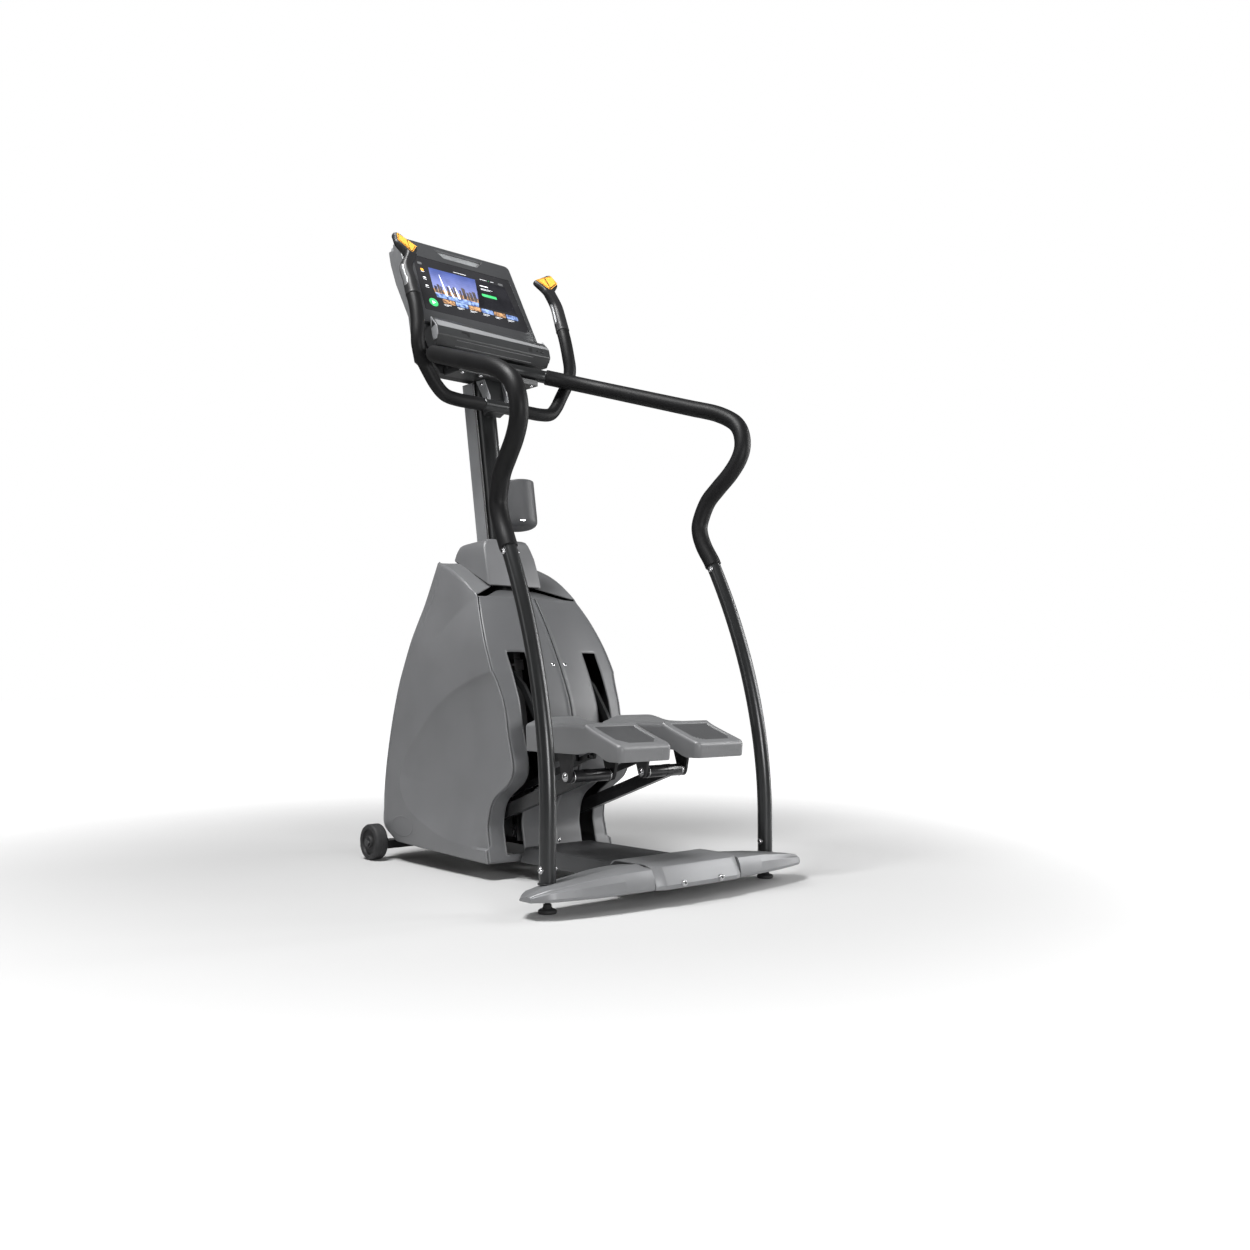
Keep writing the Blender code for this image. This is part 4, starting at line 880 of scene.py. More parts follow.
def blocks(shapes, lift=-0.0004, depth=0.0003):
    """One bmesh from flat outlines on the screen."""
    return merge(*[panel(outline, lift, depth) for outline in shapes])


def bar(x, up, width, height):
    """Outline of a small rounded bar from its lower left corner."""
    return rounded(box_outline(x, x + width, up, up + height), height * 0.3, 3)


SKY_BANDS = 10


def show(name, look, shapes, lift=-0.0004):
    """Piece of the screen's picture, made of flat outlines."""
    put(f"screen_{name}", blocks(shapes, lift), look)


def show_sky():
    """Sky in bands that darken towards the top."""
    sky_low, sky_high = (0.15, 0.17, 0.34), (0.045, 0.065, 0.2)
    for k in range(SKY_BANDS):
        t = k / (SKY_BANDS - 1)
        tone = tuple(a + (b - a) * t for a, b in zip(sky_low, sky_high))
        low = 0.16 + 0.008 * k
        darker, lighter = tuple(c * 0.88 for c in tone), tuple(c * 1.12 for c in tone)
        look = glow(f"screen_sky_{k}", darker, lighter, 0.6, 30.0)
        left, right, high = -0.1345 + 0.0005 * k, 0.0265 + 0.001 * k, low + 0.0081
        sky = [(left, low), (right, low), (right + 0.001, high), (left + 0.0005, high)]
        show(f"sky_{k}", look, [sky], -0.0006)


def make_display():
    """Generic screen content: a skyline picture, a dark panel, thumbnails and round controls."""
    show_sky()
    water = glow("screen_water", (0.02, 0.04, 0.13), (0.24, 0.34, 0.6), 0.6, 90.0)
    warm = glow("screen_warm", (0.05, 0.03, 0.03), (0.5, 0.28, 0.13), 0.55, 130.0)
    white = glow("screen_white", (0.72, 0.74, 0.78), (0.95, 0.95, 0.97), 0.9, 60.0)
    night = glow("screen_night", (0.03, 0.028, 0.034), (0.085, 0.07, 0.065), 0.5, 70.0)
    dark = glow("screen_dark", (0.006, 0.006, 0.008), (0.014, 0.014, 0.017), 0.4, 20.0)
    green = glow("screen_green", (0.03, 0.34, 0.1), (0.06, 0.46, 0.15), 0.8, 40.0)
    amber = glow("screen_amber", (0.75, 0.3, 0.03), (0.9, 0.42, 0.06), 0.8, 40.0)
    lake = [(-0.13, 0.1265), (0.016, 0.1265), (0.0205, 0.144), (-0.1325, 0.144)]
    shore = [(-0.1325, 0.144), (0.0205, 0.144), (0.026, 0.1605), (-0.1345, 0.1605)]
    show("lake", water, [lake], -0.0006)
    show("shore", warm, [shore], -0.0006)
    towers = []
    for x, width, height in ((-0.13, 0.01, 0.022), (-0.118, 0.008, 0.03), (-0.109, 0.006, 0.024),
            (-0.085, 0.007, 0.03), (-0.07, 0.006, 0.026), (-0.061, 0.007, 0.034), (-0.04, 0.006, 0.028),
            (-0.03, 0.012, 0.04), (-0.015, 0.008, 0.026), (-0.005, 0.01, 0.03), (0.0075, 0.011, 0.035)):
        towers.append([(x, 0.146), (x + width, 0.146), (x + width, 0.148 + height), (x, 0.15 + height)])
    show("towers", night, towers, -0.0005)
    spires = [[(-0.096, 0.14), (-0.0885, 0.14), (-0.0975, 0.22), (-0.0985, 0.22)],
        [(-0.0715, 0.14), (-0.066, 0.14), (-0.0735, 0.184), (-0.0745, 0.184)],
        [(-0.052, 0.14), (-0.044, 0.14), (-0.052, 0.184), (-0.053, 0.184)]]
    show("spires", white, spires)
    show("panel", dark, [[(0.018, 0.13), (0.159, 0.136), (0.148, 0.2405), (0.0375, 0.2405)]], -0.0006)
    pictures, captions = [], []
    for k in range(6):
        x = -0.114 + 0.0456 * k
        pictures.append(bar(x, 0.108, 0.043, 0.0165))
        captions.append(bar(x + 0.001, 0.1022, 0.024, 0.0011))
        captions.append(bar(x + 0.001, 0.0982, 0.015, 0.0008))
    show("thumbs_warm", warm, pictures[0::2])
    show("thumbs_cool", water, pictures[1::2])
    rows = [bar(0.048, 0.219, 0.03, 0.0028), bar(0.048, 0.2085, 0.044, 0.0009),
        bar(0.048, 0.2045, 0.034, 0.0009), bar(0.056, 0.247, 0.026, 0.0012),
        bar(0.096, 0.2475, 0.012, 0.0012), bar(-0.04, 0.2475, 0.046, 0.0012)]
    for up in (0.193, 0.162):
        rows.append(bar(-0.16, up, 0.01, 0.003))
        rows.append(bar(-0.1605, up - 0.006, 0.011, 0.0012))
    rows.append(bar(-0.1605, 0.216, 0.011, 0.0012))
    play = [(-0.154, 0.0945), (-0.1425, 0.101), (-0.154, 0.1075)]
    show("marks", white, rows + captions + [play], -0.0002)
    buttons = [bar(0.045, 0.1775, 0.054, 0.0105), disc(-0.1497, 0.1011, 0.015),
        disc(0.0885, 0.2485, 0.0012)]
    show("button", green, buttons)
    show("amber", amber, [bar(-0.16, 0.22, 0.01, 0.0085)])
    tab = box_outline(-0.164, -0.15, 0.244, 0.253)
    corner = box_outline(0.125, 0.142, 0.243, 0.252)
    show("tabs", LAYER, [rounded(tab, 0.002, 3), rounded(corner, 0.002, 3)])


def shell_slice(profile, half, taper=0.0):
    """Solid of the console's side view, with its ends drawn in by taper at the back."""
    rings = []
    for x in (-half, -half + taper, half - taper, half):
        end = abs(x) > half - taper / 2
        centre = Vector((sum(p[0] for p in profile) / len(profile),
            sum(p[1] for p in profile) / len(profile)))
        rings.append([at(x, *(Vector(p).lerp(centre, 0.045 if end and taper else 0.0))) for p in profile])
    return loft(rings)


def make_housing():
    """Layered shell behind the console's face and the body under it."""
    def behind(up, back):
        place = face(0, up, -back)
        return (place.y - REAR_FOOT_Y, place.z)

    front = [behind(0.02, 0.0122), behind(0.335, 0.0122), behind(0.3385, 0.02), (0.952, 1.803),
        (0.94, 1.756), (0.912, 1.69), (0.844, 1.575), (0.818, 1.49), (0.786, 1.479)]
    put("housing_front", shell_slice(front, 0.2028, 0.004), LAYER,
        replaces=("console_housing",), bevel=0.0022, smooth=30)
    middle = [behind(0.03, 0.016), behind(0.325, 0.016), (0.949, 1.8), (0.968, 1.796), (0.956, 1.75),
        (0.925, 1.683), (0.854, 1.565), (0.832, 1.484), (0.796, 1.48)]
    put("housing_middle", shell_slice(middle, 0.1995, 0.004), PALE, bevel=0.0022, smooth=30)
    back = [behind(0.04, 0.02), behind(0.31, 0.02), (0.955, 1.79), (0.979, 1.79), (0.9655, 1.745),
        (0.9335, 1.676), (0.8605, 1.559), (0.842, 1.479), (0.8, 1.48)]
    put("housing_back", shell_slice(back, 0.202, 0.012), LAYER, bevel=0.004, smooth=30)
    rings = []
    for x, y0, y1, z in ((0.146, 0.776, 0.828, 1.3925), (0.15, 0.7725, 0.832, 1.396),
            (0.19, 0.768, 0.846, 1.43), (0.1975, 0.786, 0.8515, 1.478), (0.198, 0.788, 0.852, 1.485)):
        rings.append([at(-x, y0, z), at(x, y0, z), at(x, y1, z), at(-x, y1, z)])
    put("housing_lower", loft(rings), BLACK_AND_SHADE, bevel=0.004, smooth=30)
    # Flat black slabs in the vent slits: painted shade in the openings.
    vent_shades = []
    for k in range(9):
        low = (0.8795 + 0.0089 * k, 1.59 + 0.0143 * k)
        high = (low[0] + 0.003, low[1] + 0.0048)
        for sign in (-1, 1):
            corners = ((0.03, low), (0.14, low), (0.14, high), (0.03, high))
            outline = [at(sign * x, y - 0.0006, z) for x, (y, z) in corners]
            vent_shades.append(prism(outline, (0, 0.002, -0.0011)))
    put("housing_vent_shade", merge(*vent_shades), BLACK_AND_SHADE, bevel=0.0004, segments=2)


def tray_ring(x):
    """Section of the tray at one x: its lip steps down, and a wedge facet narrows to the right."""
    share = (x + 0.2) / 0.4
    low, high = Vector((0.7115, 1.508)), Vector((0.7435, 1.5395))
    step = eased(x, -0.045, -0.013)
    lip = high.lerp(low, 0.21 * step)
    fold = low.lerp(high, 0.7 - 0.43 * share) + Vector((-0.0016, 0.0012))
    back = [(0.7505, 1.534 - 0.0085 * step), (0.7505, 1.513), (0.769, 1.513), (0.78, 1.502),
        (0.7812, 1.49), (0.76, 1.4565), (0.7215, 1.4562)]
    points = [(0.7052, 1.4822), (0.7048, 1.485), (0.711, 1.507), tuple(low + Vector((0.001, 0.0014))),
        tuple(fold), tuple(lip + Vector((-0.0022, -0.0012))), tuple(lip + Vector((0.0006, 0.0002))), *back]
    return [at(x, y, z) for y, z in points]


BAND_OUT = (0, -0.962, 0.271)


def make_tray():
    """Accessory tray with its end caps, pockets, ports and thin light strips; a lighter grey on its wedge
    facet is painted light.
    """
    xs = [-0.198, -0.196] + [-0.196 + 0.392 * k / 60 for k in range(1, 60)] + [0.196, 0.198]
    put("tray", loft([tray_ring(x) for x in xs]), BAND, replaces=("accessory_tray",),
        smooth=22, bevel=0.0007, segments=2)
    # Lighter grey skin over the wedge facet: painted light.
    proud = Vector((0, -0.00025, 0.00022))
    wedges = [[p + proud for p in tray_ring(-0.196 + 0.394 * k / 40)[3:5]] for k in range(41)]
    wedge = put("tray_wedge", quads(wedges), LIT_WEDGE_GREY)
    face_out(wedge, at(0, 0.76, 1.49))
    cap = [(0.713, 1.47), (0.7065, 1.484), (0.713, 1.5085), (0.744, 1.54), (0.747, 1.5385), (0.744, 1.52),
        (0.738, 1.49), (0.73, 1.47)]
    pocket = [(0.72, 1.512), (0.7385, 1.53), (0.74, 1.505)]
    for side, sign in SIDES:
        put(f"tray_cap_{side}", side_plate(cap, sign * 0.196, sign * 0.2), PALE,
            bevel=0.0012, smooth=30)
        put(f"tray_pocket_{side}", side_plate(pocket, sign * 0.1985, sign * 0.2002), BLACK_AND_SHADE,
            bevel=0.0004)

    def on_band(x, share, lift):
        """Point on the tray's front band."""
        y, z = 0.7048 + (0.711 - 0.7048) * share, 1.485 + (1.507 - 1.485) * share
        return at(x, y, z) + Vector(BAND_OUT) * lift

    dark, pale = [], []
    for outline in ([(-0.118, 0.88), (-0.092, 0.88), (-0.092, 0.3), (-0.097, 0.3), (-0.102, 0.66),
            (-0.118, 0.74)], box_outline(0.118, 0.131, 0.3, 0.8)):
        dark.append(prism([on_band(x, share, 0.0006) for x, share in outline],
            on_band(0, 0, -0.0004) - on_band(0, 0, 0.0006)))
    for x, radius in ((0.15, 0.0018), (0.168, 0.0042)):
        dark.append(lathe([(0, 0), (radius * 1.25, 0), (radius * 1.25, 0.0012), (radius, 0.0012),
            (radius * 0.8, 0.0005), (0, 0.0005)], on_band(x, 0.56, 0.0002), BAND_OUT, 24))
    put("tray_ports", merge(*dark), BLACK_AND_SHADE)
    for x in (0.114, 0.164):
        pale.append(lathe([(0, 0), (0.0011, 0), (0.0009, 0.0007), (0, 0.0008)], on_band(x, 0.16, 0.0002),
            BAND_OUT, 12))
    for z_low, y in ((1.4755, 0.7086), (1.4605, 0.718)):
        strip = box_outline(y - 0.0008, y + 0.003, z_low, z_low + 0.0016)
        pale.append(side_plate(strip, -0.135, 0.135))
    put("tray_lights", merge(*pale), LAYER, bevel=0.0003, segments=2)


def make_underside():
    """Angled bracket plates and bolts where the handrail and the mast meet the console."""
    head = [(0.706, 1.288), (0.728, 1.28), (0.744, 1.39), (0.726, 1.392), (0.7075, 1.33)]
    put("bracket_head", side_plate(head, -0.03, 0.03), COAT, replaces=("console_bracket",),
        bevel=0.0015)
    put("bracket_saddle", side_plate([(0.69, 1.3855), (0.767, 1.3855), (0.767, 1.454), (0.7485, 1.454),
        (0.7485, 1.4032), (0.69, 1.4032)], -0.14, 0.14), COAT, bevel=0.002)
    for side, sign in SIDES:
        plate = [(0.69, 1.33), (0.72, 1.384), (0.76, 1.384), (0.7, 1.296), (0.688, 1.301)]
        put(f"bracket_cheek_{side}", side_plate(plate, sign * 0.0306, sign * 0.0346), PALE,
            bevel=0.001)
        bolts = []
        for y, z in ((0.7035, 1.322), (0.73, 1.37)):
            bolts.append(bolt_head(at(sign * 0.0344, y, z), (sign, 0, 0), 0.0062, 0.004))
        for x in (0.06, 0.122):
            bolts.append(bolt_head(at(sign * x, 0.7, 1.3857), (0, 0, -1), 0.0055, 0.0036))
            bolts.append(bolt_head(at(sign * x, 0.7485, 1.429), (0, -1, 0), 0.005, 0.003))
        put(f"bracket_bolts_{side}", merge(*bolts), STEEL)


make_bezel()
make_display()
make_housing()
make_tray()
make_underside()


# ---- console handlebar --------------------------------------------------------------
def bar_path():
    """Centre line of the right half of the console handlebar."""
    points = [(0.06, 0.687, 1.301), (0.1, 0.687, 1.301), (0.145, 0.687, 1.301), (0.185, 0.689, 1.308),
        (0.212, 0.694, 1.333), (0.235, 0.699, 1.369), (0.256, 0.701, 1.405), (0.267, 0.7005, 1.435),
        (0.2695, 0.7, 1.464), (0.267, 0.705, 1.5), (0.2655, 0.716, 1.545), (0.266, 0.731, 1.585)]
    return smooth_path([at(*p) for p in points], 7)


def head_ring(centre, across, facing, half, depth, flat, steps=40):
    """Section of a head: a round back and a face cut flat."""
    ring = []
    for k in range(steps):
        turn = 2 * math.pi * k / steps
        a = math.copysign(abs(math.cos(turn)) ** 0.85, math.cos(turn))
        b = math.copysign(abs(math.sin(turn)) ** 0.85, math.sin(turn))
        ring.append(centre + across * (half * a) + facing * min(depth * b, flat))
    return ring


def pulse_plates(centres, acrosses, facings, sizes):
    """Two thin metal plates wrapped round a stretch of the head's neck."""
    plates = []
    for turn_from, turn_to in ((-38, 52), (128, 218)):
        rows = []
        for index in range(7, 20):
            centre, half, depth = centres[index], sizes[index].x, sizes[index].y
            across, facing = acrosses[index].normalized(), facings[index].normalized()
            row = []
            for k in range(11):
                turn = math.radians(turn_from + (turn_to - turn_from) * k / 10)
                lift = 0.0006 if 0 < k < 10 and 7 < index < 19 else -0.0004
                row.append(centre + across * ((half + lift) * math.cos(turn))
                    + facing * ((depth + lift) * math.sin(turn)))
            rows.append(row)
        plates.append(quads(rows))
    return merge(*plates)


def make_head(side, sign, foot, along_axis):
    """Sensor head: neck with pulse plates, shield-shaped deck, orange outline and two keys."""
    facing = Vector((sign * -0.18, -0.8, 0.57)).normalized()
    centre = at(sign * 0.249, 0.788, 1.744)
    across = (Vector((1, 0, 0)) - facing * facing.x).normalized() * sign
    up = facing.cross(across) * sign
    low_across = (across - along_axis * across.dot(along_axis)).normalized()
    low_facing = along_axis.cross(low_across) * -sign
    middle = at(sign * 0.268, 0.766, 1.67)
    marks = [(foot, low_across, low_facing, 0.0193, 0.0193, 0.0193),
        (foot + along_axis * 0.02, low_across, low_facing, 0.0192, 0.019, 0.019),
        (foot + along_axis * 0.045, low_across, low_facing, 0.0188, 0.0184, 0.018),
        (middle, low_across, low_facing, 0.0183, 0.017, 0.016)]
    for u, a, half, depth in ((-0.037, -0.002, 0.018, 0.0155), (-0.026, -0.001, 0.0215, 0.0155),
            (-0.013, 0.001, 0.03, 0.0155), (0.0, 0.0015, 0.0385, 0.015), (0.012, 0.0, 0.04, 0.0145),
            (0.021, 0.007, 0.031, 0.014), (0.03, 0.0155, 0.0205, 0.013), (0.0365, 0.0215, 0.0135, 0.0118),
            (0.04, 0.024, 0.0095, 0.0085)):
        marks.append((centre + up * u + across * a - facing * 0.0095, across, facing, half, depth, 0.0112))
    fields = [smooth_path([m[i] for m in marks], 6) for i in range(3)]
    numbers = smooth_path([Vector(m[3:]) for m in marks], 6)
    rings = [head_ring(c, a.normalized(), f.normalized(), *n) for c, a, f, n in zip(*fields, numbers)]
    put(f"head_{side}", loft(rings), BLACK_AND_SHADE, replaces=(f"grip_head_{side}",), smooth=32)
    deck = centre + facing * 0.0017

    def spot(a, u, lift=0.0):
        return deck + across * a + up * u + facing * lift

    outer = rounded([(-0.035, 0.012), (0.028, 0.0355), (0.0368, 0.0005), (-0.0023, -0.033)], 0.0022, 4)
    shrink = rounded([(-0.0318, 0.0112), (0.0266, 0.0328), (0.0345, 0.0009), (-0.0021, -0.0302)], 0.0016,
        4)
    frame_rings = ((outer, -0.0006), (outer, 0.0006), (shrink, 0.0006), (shrink, -0.0006))
    raised = loft([[spot(a, u, lift) for a, u in line] for line, lift in frame_rings], closed=True)
    put(f"head_outline_{side}", raised, ORANGE, smooth=40)
    keys = {"inner": [(-0.0285, 0.01), (-0.0046, 0.0188), (-0.0006, -0.02), (-0.0028, -0.0265)],
        "outer": [(0.0012, 0.0208), (0.0245, 0.0292), (0.0308, 0.0012), (0.0036, -0.0205)]}
    for name, shape in keys.items():
        key = prism([spot(a, u, -0.0015) for a, u in rounded(shape, 0.0022, 4)], facing * 0.0033)
        put(f"keytop_{name}_{side}", key, ORANGE, body=f"button_{name}_{side}",
            replaces=(f"key_{name}_{side}",), bevel=0.0004, segments=2)
    plate = put(f"pulse_plates_{side}", pulse_plates(*fields, numbers), PLATE, smooth=40)
    face_out(plate, foot + along_axis * 0.045)
    ring = [(0.0188, -0.0035), (0.0203, -0.003), (0.0207, -0.0015), (0.0207, 0.0015), (0.0203, 0.003),
        (0.0188, 0.0035)]
    put(f"head_collar_{side}", lathe(ring, foot - along_axis * 0.0005, along_axis, 40), BLACK_AND_SHADE,
        smooth=30)


def make_handlebar():
    """Bare middle, foam arms and heads of the console handlebar."""
    put("bar_middle", sweep([at(-0.0594 + 0.1188 * k / 6, 0.687, 1.301) for k in range(7)], 0.0175, 40),
        COAT, replaces=("handlebar_middle",))
    for side, sign in SIDES:
        path = mirrored(bar_path(), sign)
        foam = put(f"bar_foam_{side}", sweep(path, 0.019, 40, 0.0018), FOAM,
            replaces=(f"handlebar_grip_{side}",))
        axis = (path[-1] - path[-2]).normalized()
        make_head(side, sign, path[-1] + axis * 0.0006, axis)


make_handlebar()


# ---- pedals and arms ----------------------------------------------------------------
PEDAL_X = (0.042, 0.208)
PEDAL_Y = (-0.071, 0.29)
PEDAL_PIVOT = (0.137, 0.283)
PEDAL_DECK = 0.4085
TREAD_SLOPE = 0.344
TREAD_BREAK = 0.055
TREAD_MARGIN = 0.019
TREAD_INSET = 0.0016
PEDAL_WIDTH = PEDAL_X[1] - PEDAL_X[0]
PEDAL_MIDDLE = 0.125
ARM_ROOT = (0.72, 0.078)
ROD_OFFSET = (0.02, 0.045)
PEDAL_GREY = surface("moulded_pedal", (0.15, 0.152, 0.156), 0.05, (0.34, 0.44), (1400, 0.1))
BLACK_GLOSS = surface("black_enamel", (0.014, 0.014, 0.015), 0.12, (0.2, 0.3), (1600, 0.06), coat=0.3)
TREAD = surface("tread_rubber", (0.055, 0.056, 0.058), 0.12, (0.45, 0.6), (420, 0.45))


def pedal_edge(y, which):
    """Inner or outer edge of the pedal at y: its rear corners are well rounded, the front's less."""
    r_rear, r_front = 0.015, 0.012
    cut = 0.0
    if y < PEDAL_Y[0] + r_rear:
        cut = r_rear - math.sqrt(max(r_rear ** 2 - (PEDAL_Y[0] + r_rear - y) ** 2, 0))
    elif y > PEDAL_Y[1] - r_front:
        cut = r_front - math.sqrt(max(r_front ** 2 - (y - PEDAL_Y[1] + r_front) ** 2, 0))
    return PEDAL_X[0] + cut if which == 0 else PEDAL_X[1] - cut


def tread_gap(x, y):
    """Distance inside the tread's outline: a trapezoid with chamfered rear corners."""
    inner, outer = PEDAL_X[0] + TREAD_MARGIN, PEDAL_X[1] - TREAD_MARGIN
    sides = [x - inner, outer - x, y + 0.055, 0.044 - y]
    for corner in (inner, outer):
        sides.append((abs(x - corner) + (y + 0.055) - 0.024) * 0.707)
    return min(sides)


def pedal_top(x, y):
    """Height of the pedal's upper face."""
    z = PEDAL_DECK
    down = TREAD_BREAK - y
    if down >= 0:
        z -= TREAD_SLOPE * (down - 0.012 * (math.exp(-down / 0.016) - math.exp(-3.4)))
    edge = min(x - pedal_edge(y, 0), pedal_edge(y, 1) - x, y - PEDAL_Y[0] + 0.0001,
        PEDAL_Y[1] - y + 0.0001)
    hump = eased(y, 0.165, 0.245) * (1 - eased(y, 0.274, 0.291)) * eased(edge, 0.004, 0.034)
    z += 0.015 * hump
    gap = tread_gap(x, y)
    z -= 0.0034 * eased(gap, 0.0, 0.0022)
    z += 0.0011 * math.exp(-((gap + 0.0016) / 0.0013) ** 2)
    fall = 0.011
    if edge < fall:
        z -= fall * 0.85 * (1 - math.sqrt(max(1 - (1 - edge / fall) ** 2, 0)))
    return z


def pedal_floor(y):
    """Height of the pedal's lower rim."""
    line = [(-0.071, 0.327), (-0.03, 0.327), (0.03, 0.346), (0.09, 0.3392), (0.29, 0.3392)]
    for (ay, az), (by, bz) in zip(line, line[1:]):
        if y <= by:
            return az + (bz - az) * eased(y, ay, by)
    return line[-1][1]


def spaced(low, high, count, marks):
    """Positions from low to high, with extra ones bunched around the marks."""
    places = [low + (high - low) * i / count for i in range(count + 1)]
    for mark in marks:
        places += [mark + d for d in (-0.003, -0.0016, -0.0007, 0.0, 0.0007, 0.0016, 0.003)]
    return sorted({round(min(max(p, low), high), 5) for p in places})


def footbed(sign):
    """Closed pedal shell: its shaped top, and a skirt turned in under its lower rim."""
    ys = spaced(*PEDAL_Y, 64, (-0.0705, -0.067, -0.061, -0.055, 0.044, 0.055, 0.2895, 0.286, 0.28))
    insets = (0.0004, 0.0012, 0.0026, 0.005, 0.008, 0.0165, 0.0178, 0.0186, 0.0194, 0.0204, 0.0216)
    extra = [inset / PEDAL_WIDTH for inset in insets]
    shares = spaced(0.0, 1.0, 30, ()) + extra + [1 - share for share in extra]
    shares = sorted({round(share, 5) for share in shares})
    bm = bmesh.new()
    grid = []
    for y in ys:
        low, high = pedal_edge(y, 0), pedal_edge(y, 1)
        xs = [low + (high - low) * share for share in shares]
        grid.append([bm.verts.new(at(sign * x, y, pedal_top(x, y))) for x in xs])
    for near, far in zip(grid, grid[1:]):
        for corners in zip(near, near[1:], far[1:], far):
            bm.faces.new(corners)
    loop = grid[0] + [row[-1] for row in grid[1:]] + grid[-1][-2::-1]
    loop += [row[0] for row in grid[-2:0:-1]]
    middle = at(sign * PEDAL_MIDDLE, 0.11, 0)
    before = loop
    for inward, lift in ((0.0, None), (0.0012, 0.0035), (0.0024, 0.0006), (0.005, 0.0), (0.0066, 0.0012),
            (0.007, 0.014)):
        ring = []
        for v in loop:
            place = v.co.copy()
            if lift is None:
                place.z -= 0.004
            else:
                place.z = pedal_floor(place.y - REAR_FOOT_Y) + lift
                across, lengthwise = place.x - middle.x, place.y - middle.y
                if abs(across) > 0.05:
                    place.x -= math.copysign(inward, across)
                if abs(lengthwise) > 0.14:
                    place.y -= math.copysign(inward, lengthwise)
            ring.append(bm.verts.new(place))
        for k in range(len(ring)):
            after = (k + 1) % len(ring)
            bm.faces.new((before[k], before[after], ring[after], ring[k]))
        before = ring
    bm.faces.new(before)
    return bm


def tread_pad(sign):
    """Thin rubber sheet that fills the tread's outline on the sloping rear of the pedal."""
    inner = PEDAL_X[0] + 0.0212
    rows = []
    for y in (-0.0535 + 0.0965 * k / 18 for k in range(19)):
        row = []
        for x in (inner + (PEDAL_WIDTH - 0.0424) * k / 20 for k in range(21)):
            shift = max(TREAD_INSET - tread_gap(x, y), 0) * 1.5
            moved = x + math.copysign(shift, PEDAL_MIDDLE - x)
            row.append(at(sign * moved, y, pedal_top(PEDAL_MIDDLE, y) + 0.0007))
        rows.append(row)
    sheet = quads(rows)
    for facet in list(sheet.faces):
        centre = facet.calc_center_median()
        if tread_gap(sign * centre.x, centre.y - REAR_FOOT_Y) < TREAD_INSET:
            sheet.faces.remove(facet)
    bmesh.ops.delete(sheet, geom=[v for v in sheet.verts if not v.link_faces], context="VERTS")
    return sheet


def tread_marks(sign):
    """Staggered rows of small raised diamonds."""
    marks = []
    for row in range(7):
        for column in range(17):
            x = 0.068 + 0.0067 * column + 0.0033 * (row % 2)
            y = -0.046 + 0.0132 * row
            if tread_gap(x, y) > 0.007:
                low = pedal_top(x, y) - 0.0004
                shape = [(x - 0.0022, y), (x, y - 0.0042), (x + 0.0022, y), (x, y + 0.0042)]
                outline = [at(sign * a, b, low + TREAD_SLOPE * (b - y)) for a, b in shape]
                marks.append(prism(outline, (0, 0, 0.0011)))
    return marks


def pedal_lugs(sign):
    """Two lugs that carry the pivot pin, and the ear of the levelling rod."""
    pivot_y, pivot_z = PEDAL_PIVOT
    lug = [(0.108, 0.352), (0.123, pivot_z - 0.004), (0.129, pivot_z - 0.0135), (0.137, pivot_z - 0.016),
        (0.145, pivot_z - 0.0135), (0.151, pivot_z - 0.004), (0.172, 0.345), (0.172, 0.352)]
    y, z = pivot_y + ROD_OFFSET[0], pivot_z + ROD_OFFSET[1]
    ear = [(y - 0.008, 0.348), (y - 0.008, z), (y - 0.005, z - 0.007), (y + 0.005, z - 0.007),
        (y + 0.008, z), (y + 0.008, 0.348)]
    plates = ((lug, 0.0485, 0.058), (lug, 0.1895, 0.198), (ear, 0.0905, 0.1))
    return merge(*[side_plate(outline, sign * near, sign * far) for outline, near, far in plates])


def pedal_pins(sign):
    """Washers and button heads at both ends of the pivot pin."""
    washer = [(0, 0), (0.0105, 0), (0.0112, 0.0006), (0.0112, 0.0018), (0, 0.0018)]
    pins = []
    for x, out in ((0.0485, -1), (0.198, 1)):
        axis = (sign * out, 0, 0)
        pins.append(lathe(washer, at(sign * x, *PEDAL_PIVOT), axis, 32))
        pins.append(bolt_head(at(sign * (x + out * 0.0016), *PEDAL_PIVOT), axis, 0.0068, 0.0042))
    return merge(*pins)


def make_pedals():
    """Pedal shells with a toe hump, a framed tread, lugs and pivot pins."""
    for side, sign in SIDES:
        body = f"step_{side}"
        put(f"footbed_{side}", footbed(sign), PEDAL_GREY, body=body,
            replaces=(f"pedal_{side}",), smooth=40)
        put(f"tread_{side}", merge(tread_pad(sign), *tread_marks(sign)), TREAD, body=body,
            replaces=(f"pedal_tread_{side}",), smooth=30)
        put(f"pedal_lugs_{side}", pedal_lugs(sign), BLACK_AND_SHADE, body=body, bevel=0.0012,
            segments=2)
        put(f"pedal_pins_{side}", pedal_pins(sign), STEEL, body=body)


def bar_outline(start, end, half, steps=10):
    """Side-view outline of a bar with round ends."""
    turn = math.atan2(end[1] - start[1], end[0] - start[0])
    points = []
    for centre, base in ((end, turn - math.pi / 2), (start, turn + math.pi / 2)):
        for k in range(steps + 1):
            a = base + math.pi * k / steps
            points.append((centre[0] + half * math.cos(a), centre[1] + half * math.sin(a)))
    return points


def holed_bar(outline, holes, x_from, x_to):
    """Plate in the side view with round holes."""
    bm = holed(outline, holes, lambda y, z: at(x_from, y, z))
    got = bmesh.ops.extrude_face_region(bm, geom=bm.faces[:])
    moved = [v for v in got["geom"] if isinstance(v, bmesh.types.BMVert)]
    bmesh.ops.translate(bm, verts=moved, vec=(x_to - x_from, 0, 0))
    return bm


